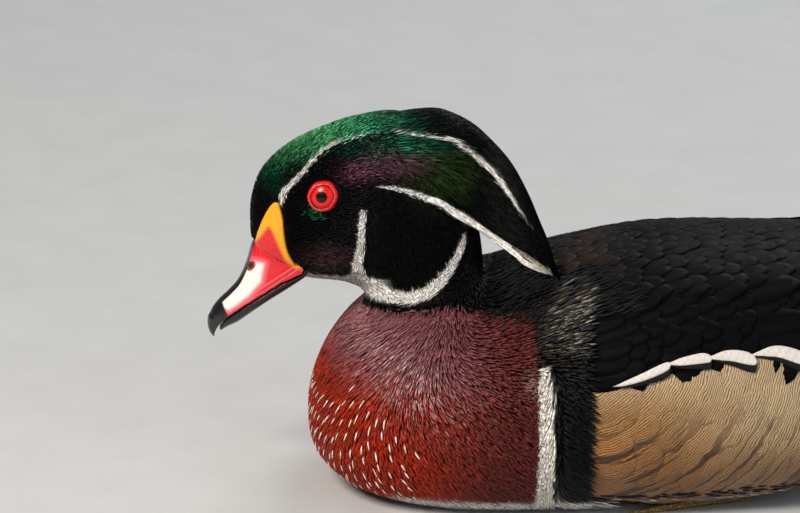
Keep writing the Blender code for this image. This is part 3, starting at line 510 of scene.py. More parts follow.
def grained(tree: NodeTree, tint: Node, pitch_mm: float, detail: float, mottle: tuple,
            rough: tuple, relief: float) -> dict[str, Node]:
    """Nodes of a fine noise that mottles the tint, changes the gloss and lifts the surface.

    Args:
        tree: The material's node tree.
        tint: The node that reads the mesh's tint.
        pitch_mm: Size of the noise.
        detail: Its finer layers.
        mottle: Factors of the tint where the noise is low and high.
        rough: Roughness where it is low and high.
        relief: Strength of the bump, 0.08 mm high.

    Returns:
        What to link to the shader's sockets.
    """
    place = add_node(tree, "TexCoord")
    noise = {"Vector": place.outputs["Object"], "Scale": 1000 / pitch_mm, "Detail": detail}
    grain = add_node(tree, "TexNoise", noise)
    depth, gloss = (
        add_node(tree, "MapRange", {"Value": grain, 1: 0.3, 2: 0.7, 3: low, 4: high}) for low, high in (mottle, rough)
    )
    colour = add_node(tree, "VectorMath", {0: tint, 1: depth}, operation="MULTIPLY")
    bump = add_node(tree, "Bump", {"Height": grain, "Distance": 0.00008, "Strength": relief})
    return {"Base Color": colour, "Roughness": gloss, "Normal": bump}


@dataclass(frozen=True)
class DownFinish:
    """Contour feathers, hair-fine at their edges: the tint and gloss of each come with its mesh.

    Preened feathers have a satin surface; iridescent ones reflect in their own colour, like a metal.
    """

    name: str
    roughness: float = 0.45
    mottle: float = 0.35
    grain_mm: float = 0.9
    specular: float = 0.3

    @lru_cache(maxsize=None)
    def build(self) -> Material:
        """Base colour is the tint times a fine grain; the tint's fourth number drives Metallic."""
        material, tree, shader = principled(self.name, Specular_IOR_Level=self.specular)
        tint = add_node(tree, "Attribute", attribute_name="Tint")
        links = grained(tree, tint, self.grain_mm, 2.0, (1 - self.mottle, 1 + self.mottle),
                        (self.roughness - 0.06, self.roughness + 0.08), 0.5)
        fill_sockets(tree, shader, {**links, "Metallic": tint.outputs["Alpha"]})
        return material


@dataclass(frozen=True)
class VaneFinish:
    """Flat feathers with a shaft and barbs that slant from it, drawn by the mesh's Barbs map.

    Barbs are about 0.3 mm apart in life; 0.55 mm shows in the render.
    """

    name: str
    roughness: float = 0.4
    pitch_mm: float = 0.55
    relief: float = 0.5
    specular: float = 0.25

    @lru_cache(maxsize=None)
    def build(self) -> Material:
        """Stripes of |u| * 0.9 - v give the barbs their slant away from the shaft at u = 0."""
        material, tree, shader = principled(self.name, Specular_IOR_Level=self.specular)
        tint = add_node(tree, "Attribute", attribute_name="Tint")
        barbs = add_node(tree, "UVMap", uv_map="Barbs")
        split = add_node(tree, "SeparateXYZ", {0: barbs})
        aside = add_node(tree, "Math", {0: split}, operation="ABSOLUTE")
        slant = add_node(tree, "Math", {0: aside, 1: -0.9, 2: split.outputs[1]}, operation="MULTIPLY_ADD")
        wobble = add_node(tree, "TexNoise", {"Vector": barbs, "Scale": 22.0, "Detail": 2.0})
        phase = add_node(tree, "Math", {0: wobble, 1: 0.012, 2: slant}, operation="MULTIPLY_ADD")
        wave = add_node(tree, "Math", {0: phase, 1: 100 * PERIOD / self.pitch_mm}, operation="MULTIPLY")
        line = add_node(tree, "Math", {0: wave}, operation="SINE")
        shaft = add_node(tree, "MapRange", {"Value": aside, 1: 0.0, 2: 0.0045, 3: 1.0, 4: 0.0})
        height = add_node(tree, "Math", {0: shaft, 1: 3.0, 2: line}, operation="MULTIPLY_ADD")
        shade = add_node(tree, "MapRange", {"Value": line, 1: -1.0, 2: 1.0, 3: 0.72, 4: 1.15})
        rough = {3: self.roughness - 0.08, 4: self.roughness + 0.1}
        fill_sockets(tree, shader, {
            "Base Color": add_node(tree, "VectorMath", {0: tint, 1: shade}, operation="MULTIPLY"),
            "Metallic": tint.outputs["Alpha"],
            "Roughness": add_node(tree, "MapRange", {"Value": wobble, 1: 0.3, 2: 0.7, **rough}),
            "Normal": add_node(tree, "Bump", {"Height": height, "Distance": 0.00006, "Strength": self.relief}),
        })
        return material


@dataclass(frozen=True)
class HornFinish:
    """Keratin of the bill, grown and worn smooth: satin, with a fine mottle and pores."""

    name: str
    roughness: float = 0.3
    coat: float = 0.35
    grain_mm: float = 0.6

    @lru_cache(maxsize=None)
    def build(self) -> Material:
        """The mesh's tint with a mottle of noise, and the same noise as relief."""
        material, tree, shader = principled(self.name, IOR=1.54, Coat_Weight=self.coat, Coat_Roughness=0.2,
                                            Subsurface_Weight=0.12, Subsurface_Scale=0.001)
        tint = add_node(tree, "Attribute", attribute_name="Tint")
        fill_sockets(tree, shader, grained(tree, tint, self.grain_mm, 4.0, (0.86, 1.1),
                                           (self.roughness - 0.08, self.roughness + 0.12), 0.4))
        return material


@dataclass(frozen=True)
class EyeFinish:
    """A wet eyeball: a clear, mirror-smooth film over the painted iris and pupil."""

    name: str = "wet eyeball, red iris"

    @lru_cache(maxsize=None)
    def build(self) -> Material:
        """The mesh's tint under a clear coat."""
        material, tree, shader = principled(self.name, Roughness=0.3, Specular_IOR_Level=0.2, Coat_Weight=0.6,
                                            Coat_Roughness=0.02, Coat_IOR=1.34)
        fill_sockets(tree, shader, {"Base Color": add_node(tree, "Attribute", attribute_name="Tint")})
        return material


@dataclass(frozen=True)
class SkinFinish:
    """Scaly bare skin: cells of raised scutes with darker seams, slightly moist."""

    name: str
    raised: str
    seams: str
    cell_mm: float
    roughness: float = 0.45
    relief_mm: float = 0.15

    @lru_cache(maxsize=None)
    def build(self) -> Material:
        """Cells by distance to the nearest edge, coloured and raised towards their middles."""
        material, tree, shader = principled(self.name, IOR=1.45, Subsurface_Weight=0.1, Subsurface_Scale=0.001)
        place = add_node(tree, "TexCoord")
        cells = add_node(tree, "TexVoronoi", {"Vector": place.outputs["Object"], "Scale": 1000 / self.cell_mm},
                         feature="DISTANCE_TO_EDGE")
        rise = add_node(tree, "MapRange", {"Value": cells.outputs["Distance"], 1: 0.0, 2: 0.25, 3: 0.0, 4: 1.0})
        colour = add_node(tree, "ValToRGB", {"Fac": rise})
        for stop, code in zip(colour.color_ramp.elements, (self.seams, self.raised)):
            stop.color = (*linear(code), 1)
        rough = {3: self.roughness + 0.1, 4: self.roughness - 0.08}
        fill_sockets(tree, shader, {
            "Base Color": colour,
            "Roughness": add_node(tree, "MapRange", {"Value": rise, 1: 0.0, 2: 1.0, **rough}),
            "Normal": add_node(tree, "Bump", {"Height": rise, "Distance": self.relief_mm * MM, "Strength": 0.7}),
        })
        return material


# ---- meshes


def make_piece(
    name: str,
    points: Array,
    faces: Array,
    material: Material,
    slot: str,
    tint: Array,
    maps: dict[str, Array] | None = None,
    replaces: tuple[str, ...] = (),
) -> None:
    """Puts arrays into a mesh object that rides on the one body.

    Args:
        name: The piece's name.
        points: Points, any shape ending in 3.
        faces: Point numbers, three or four to a face; they are turned outwards here.
        material: Its material.
        slot: The record's material slot.
        tint: Colour and gloss for each point.
        maps: UV maps by name, a pair for each point.
        replaces: The nodes that the piece stands for.
    """
    points = points.reshape(-1, 3)
    faces = np.asarray(outwards(points, faces), np.int32)
    mesh = bpy.data.meshes.new(name)
    mesh.vertices.add(len(points))
    mesh.vertices.foreach_set("co", points.astype(np.float32).ravel())
    mesh.loops.add(faces.size)
    mesh.loops.foreach_set("vertex_index", faces.ravel())
    mesh.polygons.add(len(faces))
    mesh.polygons.foreach_set("loop_start", np.arange(len(faces), dtype=np.int32) * faces.shape[1])
    mesh.polygons.foreach_set("use_smooth", np.ones(len(faces), bool))
    for title, pairs in (maps or {}).items():
        layer = mesh.uv_layers.new(name=title)
        layer.data.foreach_set("uv", pairs.reshape(-1, 2)[faces.ravel()].astype(np.float32).ravel())
    layer = mesh.color_attributes.new("Tint", "FLOAT_COLOR", "POINT")
    layer.data.foreach_set("color", np.clip(tint, 0, 1).reshape(-1, 4).astype(np.float32).ravel())
    mesh.update(calc_edges=True)
    mesh.validate()
    mesh.materials.append(material)
    item = bpy.data.objects.new(name, mesh)
    bpy.context.scene.collection.objects.link(item)
    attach(item, "root")
    if replaces:
        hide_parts(*replaces)
    log.info("%s: %d points, %d faces", name, len(points), len(faces))


def tube_faces(rings: int, around: int) -> Array:
    """Quads of the walls of a tube of rings, without its ends."""
    start = np.arange(rings - 1)[:, None] * around
    step = np.arange(around)[None]
    after = (step + 1) % around
    return np.stack([start + step, start + after, start + around + after, start + around + step], -1).reshape(-1, 4)


def copies(faces: Array, count: int, points: int) -> Array:
    """The faces of one shape, repeated for shapes whose points follow each other in the same array."""
    return (faces[None] + np.arange(count)[:, None, None] * points).reshape(-1, faces.shape[1])


def strand_faces(count: int) -> Array:
    """Quads of closed strands, each of six rings of four points."""
    return copies(np.concatenate([tube_faces(6, 4), [(0, 3, 2, 1), (20, 21, 22, 23)]]), count, 24)


def with_ends(values: Array) -> Array:
    """Values of a tube's ring points, and the first of each end ring's for its middle point."""
    return np.concatenate([values.reshape(-1, values.shape[-1]), values[:1, 0], values[-1:, 0]])


def tube_chart(share: Array, angle: Array) -> Array:
    """The OFBake map of a capped tube: share along and round it, inside a small margin."""
    chart = np.stack([share, angle / 360], -1).reshape(-1, 2) * 0.98 + 0.005
    return np.concatenate([chart, chart[:1], chart[-1:]])


def cells(count: int, wide: int) -> Array:
    """Column and row of each item's own cell in a square chart so many cells wide."""
    return np.stack([np.arange(count) % wide, np.arange(count) // wide], -1)


def vane_chart(aside: Array, share: Array) -> Array:
    """The OFBake map of flat feathers: place across (-1 to 1) and along (0 to 1) in a cell for each."""
    wide = int(np.ceil(np.sqrt(len(share))))
    cell = cells(len(share), wide)[:, None, None, None]
    return (cell + 0.06 + 0.88 * np.stack([aside / 2 + 0.5, share], -1)) / wide


def capped_tube(rings: Array) -> tuple[Array, Array]:
    """A tube of rings closed with a middle point at each end.

    Args:
        rings: Points, rings by around by 3.

    Returns:
        The points, and triangles that all turn the same way.
    """
    count, around = rings.shape[:2]
    points = np.concatenate([rings.reshape(-1, 3), rings[:1].mean(1), rings[-1:].mean(1)])
    quads = tube_faces(count, around)
    walls = np.concatenate([quads[:, [0, 1, 2]], quads[:, [0, 2, 3]]])
    step, after = np.arange(around), (np.arange(around) + 1) % around
    first = np.stack([after, step, np.full(around, count * around)], -1)
    base = (count - 1) * around
    last = np.stack([base + step, base + after, np.full(around, count * around + 1)], -1)
    return points, np.concatenate([walls, first, last])


def sheet_faces(rows: int, columns: int) -> Array:
    """Quads of a closed sheet: an outer grid, an inner grid numbered after it, and the rims."""
    count = rows * columns
    start = (np.arange(rows - 1)[:, None] * columns + np.arange(columns - 1)[None]).ravel()
    outer = np.stack([start, start + 1, start + columns + 1, start + columns], -1)
    inner = outer[:, ::-1] + count
    loop = np.concatenate([
        np.arange(columns - 1), np.arange(rows - 1) * columns + columns - 1,
        (rows - 1) * columns + np.arange(columns - 1, 0, -1), np.arange(rows - 1, 0, -1) * columns,
    ])
    after = np.roll(loop, -1)
    rim = np.stack([loop, loop + count, after + count, after], -1)
    return np.concatenate([outer, inner, rim])


def outwards(points: Array, faces: Array) -> Array:
    """The faces, all turned round if the closed shape's signed volume comes out negative."""
    flat = points.reshape(-1, 3)
    a, b, c = flat[faces[:, 0]], flat[faces[:, 1]], flat[faces[:, 2]]
    volume = np.einsum("ij,ij->", a, np.cross(b, c))
    if faces.shape[1] == 4:
        volume += np.einsum("ij,ij->", a, np.cross(c, flat[faces[:, 3]]))
    return faces if volume > 0 else faces[:, ::-1]


def scatter(loft: Loft, rows: tuple[float, float], angles: tuple[float, float], spacing: float, seed: int
            ) -> tuple[Array, Array]:
    """Evenly spread roots over a stretch of a loft, by its area and the wanted spacing.

    The two-number sequence with golden steps is sent through the cumulative area, rows first.

    Args:
        loft: The surface.
        rows: First and last row.
        angles: First and last angle.
        spacing: Metres between roots.
        seed: Start of the sequence.

    Returns:
        Rows and angles of the roots.
    """
    row, angle = np.meshgrid(np.linspace(*rows, 161), np.linspace(*angles, 121), indexing="ij")
    middle_row, middle_angle = (row[1:] + row[:-1])[:, 1:] / 2, (angle[:, 1:] + angle[:, :-1])[1:] / 2
    _, _, along, around = loft.frame(middle_row, middle_angle)
    area = along * around * (row[1, 0] - row[0, 0]) * (angle[0, 1] - angle[0, 0])
    weight = area / (spacing * spacing)
    total = int(weight.sum())
    step = np.arange(total) + 1 + 1000 * seed
    first, second = (step * GOLDEN[0]) % 1, (step * GOLDEN[1]) % 1
    edges = np.append(0, np.cumsum(weight.sum(1))) / weight.sum()
    at = np.interp(first, edges, np.arange(len(edges)))
    line = np.minimum(at.astype(int), len(weight) - 1)
    spread = np.cumsum(weight, 1) / np.maximum(weight.sum(1, keepdims=True), 1e-12)
    column = (spread[line] < second[:, None]).sum(1).clip(0, weight.shape[1] - 1)
    below = np.where(column > 0, spread[line, np.maximum(column - 1, 0)], 0)
    share = (second - below) / np.maximum(spread[line, column] - below, 1e-9)
    roots_row = rows[0] + (rows[1] - rows[0]) * at / len(weight)
    roots_angle = angles[0] + (angles[1] - angles[0]) * (column + np.clip(share, 0, 1)) / weight.shape[1]
    return roots_row, roots_angle


@dataclass
class Coat:
    """Small closed blades over a loft, each a root point, rings of four and a tip point."""

    loft: Loft
    row: Array
    angle: Array
    length: Array
    width: Array
    lay: Array
    sink: Array
    top: float | Callable = 0.0
    rings: tuple = (0.38, 0.78)
    blade: tuple = (1.0, 0.62)
    thick: float = 0.00012
    floor: float | None = None

    def walk(self, shares: Array) -> tuple[Array, Array]:
        """Rows and angles along each blade, stepping by the loft's own metres to a row and degree."""
        row, angle = self.row.copy(), self.angle.copy()
        rows, angles, at = [], [], 0.0
        for share in shares:
            for _ in range(2):
                _, _, along, around = self.loft.frame(row, angle)
                reach = self.length * (share - at) / 2
                row = row + self.loft.flow * reach * np.cos(self.lay) / np.maximum(along, LEAST_ROW)
                angle = angle + reach * np.sin(self.lay) / np.maximum(around, LEAST_DEGREE)
            at = share
            rows.append(row)
            angles.append(angle)
        return np.stack(rows, 1), np.stack(angles, 1)

    def build(self) -> tuple[Array, Array, Array, Array]:
        """Points = surface + height * normal, with sides and ridge set off across the lie.

        Returns:
            The points without lean, the leaned points, faces, and the OFBake map.
        """
        shares = np.array((0.0, *self.rings, 1.0))
        rows, angles = self.walk(shares)
        point, normal, _, _ = self.loft.frame(rows, angles)
        top = self.top(rows) if callable(self.top) else self.top
        height = top - (self.sink[:, None] + top) * (1 - shares) ** 1.4
        spine = point + height[..., None] * normal
        if self.floor is not None:
            spine[..., 2] = np.maximum(spine[..., 2], self.floor)
        heading = unit(np.gradient(spine, axis=1))
        side = unit(np.cross(normal, heading))
        half = self.width[:, None, None] * np.append(np.append(0, self.blade), 0)[None, :, None] / 2
        ridge, under = normal * self.thick, normal * -self.thick * 0.6
        ring = np.stack([spine - side * half, spine + ridge, spine + side * half, spine + under], 2)[:, 1:-1]
        if self.floor is not None:
            ring[..., 2] = np.maximum(ring[..., 2], self.floor - 0.00008)
        count = len(self.row)
        flat = np.concatenate([spine[:, :1], ring.reshape(count, -1, 3), spine[:, -1:]], 1)
        faces = copies(self._faces(len(self.rings), flat.shape[1]), count, flat.shape[1])
        patch = np.array([[0, 0]] + [(a, b) for b in self.rings for a in (-0.5, 0, 0.5, 0)] + [(0, 1)])
        last = len(self.loft.stations) - 1
        home = np.stack([self.row / last, ((self.angle + 180) % 360) / 360], -1) * 0.98 + 0.005
        chart = home[:, None] + patch[None] * 0.003
        return flat, self.loft.leaned(flat), faces, chart

    @staticmethod
    def _faces(rings: int, count: int) -> Array:
        """Triangles of one blade: a fan, quads between rings split in two, and a fan."""
        faces = []
        for corner in range(4):
            after = (corner + 1) % 4
            faces.append((0, 1 + after, 1 + corner))
            for ring in range(rings - 1):
                a, b = 1 + 4 * ring + corner, 1 + 4 * ring + after
                faces += [(a, b, b + 4), (a, b + 4, a + 4)]
            base = 1 + 4 * (rings - 1)
            faces.append((base + corner, base + after, count - 1))
        return np.array(faces)


@dataclass
class Vanes:
    """Flat closed feathers laid over a loft: a grid along and across each, with a thickness."""

    loft: Loft
    row: Array
    angle: Array
    length: Array
    width: Array
    lay: Array
    low: Array
    high: Array
    tilt: Array
    grid: tuple[int, int] = (9, 5)
    outline: tuple = ((0.0, 0.25, 0.6, 0.82, 0.94, 1.0), (0.45, 0.85, 1.0, 0.88, 0.55, 0.12))
    camber: float = 0.0006
    thick: float = 0.00028
    tuck: Array | float = 0.0

    def build(self) -> dict[str, object]:
        """Each vane's grid is set out in rows and angles of the loft, so it wraps round the body.

        Tip and sides dip by the tuck, squared towards the tip and cubed towards the sides, into the
        feathers beneath.

        Returns:
            points, faces, s and t (share along, -1 to 1 across), angle, and the maps Barbs and OFBake.
        """
        rings, columns = self.grid
        shares = np.linspace(0, 1, rings) ** 0.85
        rows, angles = Coat(self.loft, self.row, self.angle, self.length, self.width, self.lay, self.low).walk(shares)
        _, _, along, around = self.loft.frame(rows, angles)
        across = np.linspace(-1, 1, columns)[None, None]
        half = (self.width[:, None] / 2 * np.interp(shares, *self.outline)[None])[..., None] * across
        lay = self.lay[:, None, None]
        row = rows[..., None] - self.loft.flow * half * np.sin(lay) / np.maximum(along, LEAST_ROW)[..., None]
        angle = angles[..., None] + half * np.cos(lay) / np.maximum(around, LEAST_DEGREE)[..., None]
        rise = 1 - (1 - shares) ** 1.5
        height = self.low[:, None] + (self.high - self.low)[:, None] * rise[None]
        height = height[..., None] + self.camber * (1 - across**2) * np.sin(np.pi * shares)[None, :, None] ** 0.5
        height = height + self.tilt[:, None, None] * across * np.sin(np.pi * shares**0.8)[None, :, None]
        fold = np.maximum(ramp(shares, 0.70, 1.0)[None, :, None] ** 2, np.abs(across) ** 3)
        height = height - np.reshape(self.tuck, (-1, 1, 1)) * fold
        points = np.stack([self.loft.over(row, angle, height), self.loft.over(row, angle, height - self.thick)], 1)
        count = len(self.row)
        shape = (count, 2, rings, columns)
        share = np.broadcast_to(shares[:, None], shape)
        aside = np.broadcast_to(across[:, None], shape)
        shift = (np.arange(count) * 0.37 % 1)[:, None, None, None]
        reach = share * self.length[:, None, None, None]
        barbs = np.stack([np.broadcast_to(half[:, None], shape) * BARBS_SCALE, reach * BARBS_SCALE + shift], -1)
        return {
            "points": points, "faces": copies(sheet_faces(rings, columns), count, 2 * rings * columns), "s": share,
            "t": aside, "angle": np.broadcast_to(angle[:, None], shape),
            "maps": {"OFBake": vane_chart(aside, share), "Barbs": barbs},
        }


# ---- markings, in millimetres from the side

BROW = (
    (100, 106.5, 0.5), (99.5, 109, 1.0), (98.6, 111.5, 0.95), (96, 114.4, 0.75), (92.9, 117.5, 0.6),
    (89.3, 121.8, 0.5), (85.5, 125.8, 0.4), (82, 127.9, 0.3), (78.3, 129.3, 0.2), (71, 131.3, 0.0),
    (64, 132.6, -0.2), (57, 132.8, 0.05), (47.8, 131.7, 0.2), (42.6, 131.0, 0.25), (38.3, 129.7, 0.35),
    (35.3, 127.3, 0.5),
    (29.7, 122.8, 0.75), (26.3, 119.7, 0.85), (23, 116.2, 0.75), (20.1, 112.2, 0.6), (17.3, 108.0, 0.4),
    (14.9, 104.5, 0.2), (13.4, 102.8, 0.0),
)
NAPE = (
    (66.4, 114.6, 0.0), (59.6, 113.9, 0.55), (53.1, 111.7, 0.9), (47.9, 109, 1.0), (43.5, 106.9, 1.0),
    (39.1, 103.4, 1.25), (34.8, 100.2, 1.4), (30.4, 96.6, 1.6), (26.1, 93.9, 1.5), (21.9, 91.5, 1.35),
    (17.8, 89, 1.2), (13.8, 87.3, 0.9), (9.8, 85.3, 0.7), (5.6, 84.4, 0.4),
)
CHEEK = ((71.3, 105.3, 0.9), (71.7, 98.9, 1.15), (72, 91.2, 1.3), (73.2, 84, 1.7), (72, 79, 2.6))
THROAT = ((95, 78.4, 1.3), (88, 77.2, 1.9), (80, 76.0, 2.9), (73, 75.6, 3.9))
COLLAR = (
    (73, 76.4, 4.6), (67, 75.0, 3.6), (61.5, 73.0, 2.3), (55, 73.0, 1.5), (48.5, 75.4, 1.5), (43.5, 79.0, 1.6),
    (40, 83, 1.5), (37.2, 87.5, 1.4), (35.4, 92, 1.0), (34.9, 93.9, 0.4),
)
SHOULDER = ((13, 62), (10.5, 70.8), (4.9, 78), (-2.4, 82.3), (-11.1, 80), (-10.5, 71.7), (-6.4, 62.2))
BAR = ((9.6, 57.6, 1.5), (9.7, 54, 2.5), (9.7, 20, 2.85), (9.7, 2, 3.0))
BAND = (
    (47.9, 15.4, 109.2, 0.8), (43.6, 14.6, 107.2, 1.1), (39.2, 13.6, 103.7, 1.3), (34.8, 12.6, 100.6, 1.4),
    (30.4, 11.8, 97.4, 1.4), (26.1, 12.0, 94.1, 1.4), (21.9, 13.8, 91.5, 1.3), (17.8, 16.9, 88.8, 1.2),
    (13.8, 20.6, 86.4, 1.0), (9.0, 22.4, 84.3, 0.8), (4.5, 22.8, 82.6, 0.5),
)
BREAST_ROWS = (6.8, 7.05, 7.42, 8.28, 10.0, 11.73, 12.38, 12.85, 13.23, 13.35, 13.5, 14)
BREAST_TOPS = (44, 40.5, 36.5, 33.5, 34.5, 51.5, 68, 87.8, 114.8, 139.5, 160, 180)
CRESCENTS = (
    ((-13, 53.4, 0.3), (-17, 54.3, 0.7), (-24.3, 56.6, 1.3), (-31.2, 59.2, 1.5), (-34, 60.2, 0.9)),
    ((-31, 60.2, 0.5), (-38.7, 61.2, 1.3), (-45.2, 61.9, 1.6), (-48.5, 61.6, 1.0)),
    ((-45, 61.6, 0.6), (-54, 62.4, 1.6), (-60.8, 61.3, 2.0), (-64.5, 60.0, 1.2)),
    ((-60.5, 61.8, 0.6), (-71, 62.9, 1.7), (-79.5, 60.6, 2.2), (-84, 58.6, 1.3)),
    ((-78.5, 61.4, 0.6), (-88, 61.9, 1.6), (-97, 58.6, 2.1), (-101.5, 56.4, 1.2)),
    ((-96, 58.8, 0.6), (-105, 58.8, 1.5), (-113, 55.8, 1.9), (-117, 54, 1.1)),
)


@dataclass(frozen=True)
class Patch:
    """A soft-edged oval of colour on the side of the head."""

    x: float
    z: float
    long: float
    high: float
    turn: float
    paint: tuple
    above: int = 0

    def share(self, x: Array, z: Array, above: Array) -> Array:
        """Near 1 inside the turned oval, fading out by a bell curve; one side of the brow if asked."""
        cos, sin = np.cos(np.radians(self.turn)), np.sin(np.radians(self.turn))
        along = ((x - self.x) * cos + (z - self.z) * sin) / self.long
        aside = ((z - self.z) * cos - (x - self.x) * sin) / self.high
        near = np.exp(-((along**2 + aside**2) ** 1.6))
        if self.above:
            near = near * ramp(above * self.above, -0.6, 0.8)
        return near


# Ovals of the head's iridescent colours. Some of them are painted light: the bright green band on the crown is a
# painted highlight where the crown faces the light, and the near-black ovals over the front of the brow and at the
# rear of the crest are painted shade.
HEAD_PATCHES = (
    Patch(104, 119, 10, 5, 60, ("#0d5a40", 0.85), 1),
    # Painted highlight: the bright green band where the crown faces the light.
    Patch(84, 130, 22, 6.5, -20, ("#66cc86", 0.80), 1),
    Patch(64, 132, 14, 4.5, 2, ("#228a68", 0.85), 1),
    # Painted shade: near-black over the front of the brow, and next at the crest's rear.
    Patch(96, 119.0, 8, 2.6, -50, ("#020403", 0.3), 1),
    Patch(37, 131, 11, 9, 30, ("#020405", 0.4), 1),
    Patch(43, 118, 12, 11, 25, ("#3c5226", 0.80), -1),
    Patch(52, 128.4, 18, 3.8, -8, ("#186048", 0.85), -1),
    Patch(72, 125.5, 9, 3.6, 10, ("#0c3a2c", 0.80), -1),
    Patch(74, 119.6, 7.0, 3.4, -6, ("#7c4660", 0.55), -1),
    Patch(59.0, 121.6, 11.0, 4.6, -2, ("#704a58", 0.55), -1),
    Patch(84, 119, 9, 4.0, -30, ("#07060a", 0.5), -1),
    Patch(88.5, 104.6, 3.0, 1.6, 10, ("#2a9a5c", 0.80), -1),
    Patch(84, 87, 9, 5.5, 0, ("#4a3036", 0.30), -1),
    Patch(25, 106, 9, 13, 30, ("#030606", 0.4), -1),
)
NIGHT, WHITE = tone("#040505", 0.35), tone("#f4efe8", 0.0)


class Markings:
    """The bird's colours as functions of place; each tuft's small offset roughens their borders."""

    def head(self, points: Array, loose: Array) -> Array:
        """Colours of head, crest and neck.

        Args:
            points: Points without the crest's lean, metres.
            loose: Each point's offset, two normal numbers.

        Returns:
            Red, green, blue and gloss.
        """
        x, z = points[..., 0] / MM, points[..., 2] / MM
        wide_x, wide_z = x + loose[..., 0] * 1.6, z + loose[..., 1] * 1.2
        brow = np.asarray(BROW)[::-1]
        above = wide_z - np.interp(wide_x, brow[:, 0], brow[:, 1])
        above = np.where(wide_x > 99.5, np.where(wide_z > 106, 5.0, -5.0), above)
        paint = np.broadcast_to(NIGHT, (*x.shape, 4))
        fleck = 0.25 + 0.75 * ramp(np.sin(loose[..., 0] * 40), -0.75, 0.1)
        for patch in HEAD_PATCHES:
            paint = blend(paint, tone(*patch.paint), patch.share(wide_x, wide_z, above) * fleck)
        near_x, near_z = x + loose[..., 0] * 0.22, z + loose[..., 1] * 0.22
        white = np.zeros(x.shape)
        for path in (BROW, NAPE, CHEEK, THROAT, COLLAR):
            white = np.maximum(white, ramp(stroke(near_x, near_z, path), 0.30, -0.15))
        under = ramp(near_x, 60, 67) * ramp(near_z, 79.5, 78.5) * ramp(near_z, 69.6, 70.6)
        # Painted shade: the white under the chin goes grey.
        chin_shade = ramp(near_x, 66, 74) * ramp(near_z, 82.5, 80.5)
        return blend(paint, blend(WHITE, tone("#9c948a", 0.0), 0.8 * chin_shade), np.maximum(white, under))

    def trunk(self, points: Array, row: Array, angle: Array, loose: Array) -> Array:
        """Colours of breast, bars, belly, shoulder and back.

        Args:
            points: Points, metres.
            row: The loft's row at each point.
            angle: The loft's angle at each point.
            loose: Each point's offset, two normal numbers.

        Returns:
            Red, green, blue and gloss.
        """
        x, z = points[..., 0] / MM, points[..., 2] / MM
        turn = from_back(angle)
        near_x, near_z = x + loose[..., 0] * 0.3, z + loose[..., 1] * 0.3
        paint = np.broadcast_to(tone("#08090a", 0.25), (*x.shape, 4))
        top = np.interp(row, BREAST_ROWS, BREAST_TOPS)
        breast = ramp(turn + 1.5 * loose[..., 1] - top, -2, 3) * ramp(near_x, 12.2, 12.8)
        rich = blend(tone("#8a2a1a", 0.15), tone("#b02c0a", 0.15), ramp(x - 0.6 * z, 22, 52))
        # Paler mauve towards the top: partly the breast's own colour, partly painted sheen where the upper breast
        # faces the light.
        rich = blend(rich, tone("#8f5862", 0.3), 0.9 * ramp(z + 2 * loose[..., 0], 42, 58))
        # Painted shade: darker towards the rear, where the breast turns away from the light.
        rich = blend(rich, tone("#602420", 0.15), ramp(x + 3 * loose[..., 0], 50, 20))
        # Painted highlight: a band of whitish-pink tufts across the upper breast, where the light's sheen would lie.
        away, aside = (62 - x) * 0.85 + (55 - z) * 0.52, (x - 62) * 0.52 + (55 - z) * 0.85
        band = np.exp(-((away / 22) ** 2 + (aside / 10) ** 2))
        rich = blend(rich, tone("#d2aaa6", 0.2), 0.7 * band * ramp(loose[..., 1], 0.0, 0.5))
        paint = blend(paint, rich, breast)
        patch = inside(x + loose[..., 0], z + loose[..., 1], SHOULDER)
        # The shoulder patch: threads of its own iridescent ochre and silver, with silver and blue glints that are
        # partly painted highlight. They are stronger towards the top, where the patch faces the light.
        thread = ramp(np.sin(loose[..., 0] * 23), -0.2, 0.5)
        silver = blend(tone("#6f5a3c", 0.4), tone("#a7a698", 0.4), thread)
        silver = blend(silver, tone("#1c2a4c", 0.6), ramp(np.sin(loose[..., 1] * 31), 0.4, 0.8))
        bright = 0.75 * ramp(z, 60, 74) * ramp(loose[..., 0], -0.6, 0.7) + 0.12
        paint = blend(paint, silver, bright * ramp(patch, 0.8, -2))
        tan = np.hypot((x - 15.2) / 2.6, (z - 53.6) / 5.0)
        paint = blend(paint, tone("#7a5a4c", 0.1), ramp(tan, 1.2, 0.7) * ramp(loose[..., 1], -1, 0))
        belly = ramp(z + loose[..., 1] * 0.6, 8, 5) * ramp(x, 66, 56) * ramp(x, -128, -112)
        paint = blend(paint, tone("#e9e4da", 0.0), belly)
        paint = blend(paint, tone("#2a1a14", 0.1), ramp(x, -112, -128) * ramp(turn, 100, 125))
        bar = ramp(stroke(near_x, near_z, BAR), 0.3, -0.2)
        return blend(paint, tone("#f0e9dd", 0.0), bar)


# ---- coats


def spread_loose(count: int, verts: int, seed: int) -> Array:
    """One pair of normal numbers for each tuft, repeated for its points."""
    pair = np.random.default_rng(seed).normal(size=(count, 1, 2)).clip(-2, 2)
    return np.broadcast_to(pair, (count, verts, 2))


def vary(tint: Array, amount: float, seed: int) -> Array:
    """The tints with each tuft's brightness multiplied by e to a normal number times the amount."""
    return shaded(tint, np.exp(np.random.default_rng(seed).normal(size=(len(tint), 1)).clip(-2, 2) * amount))


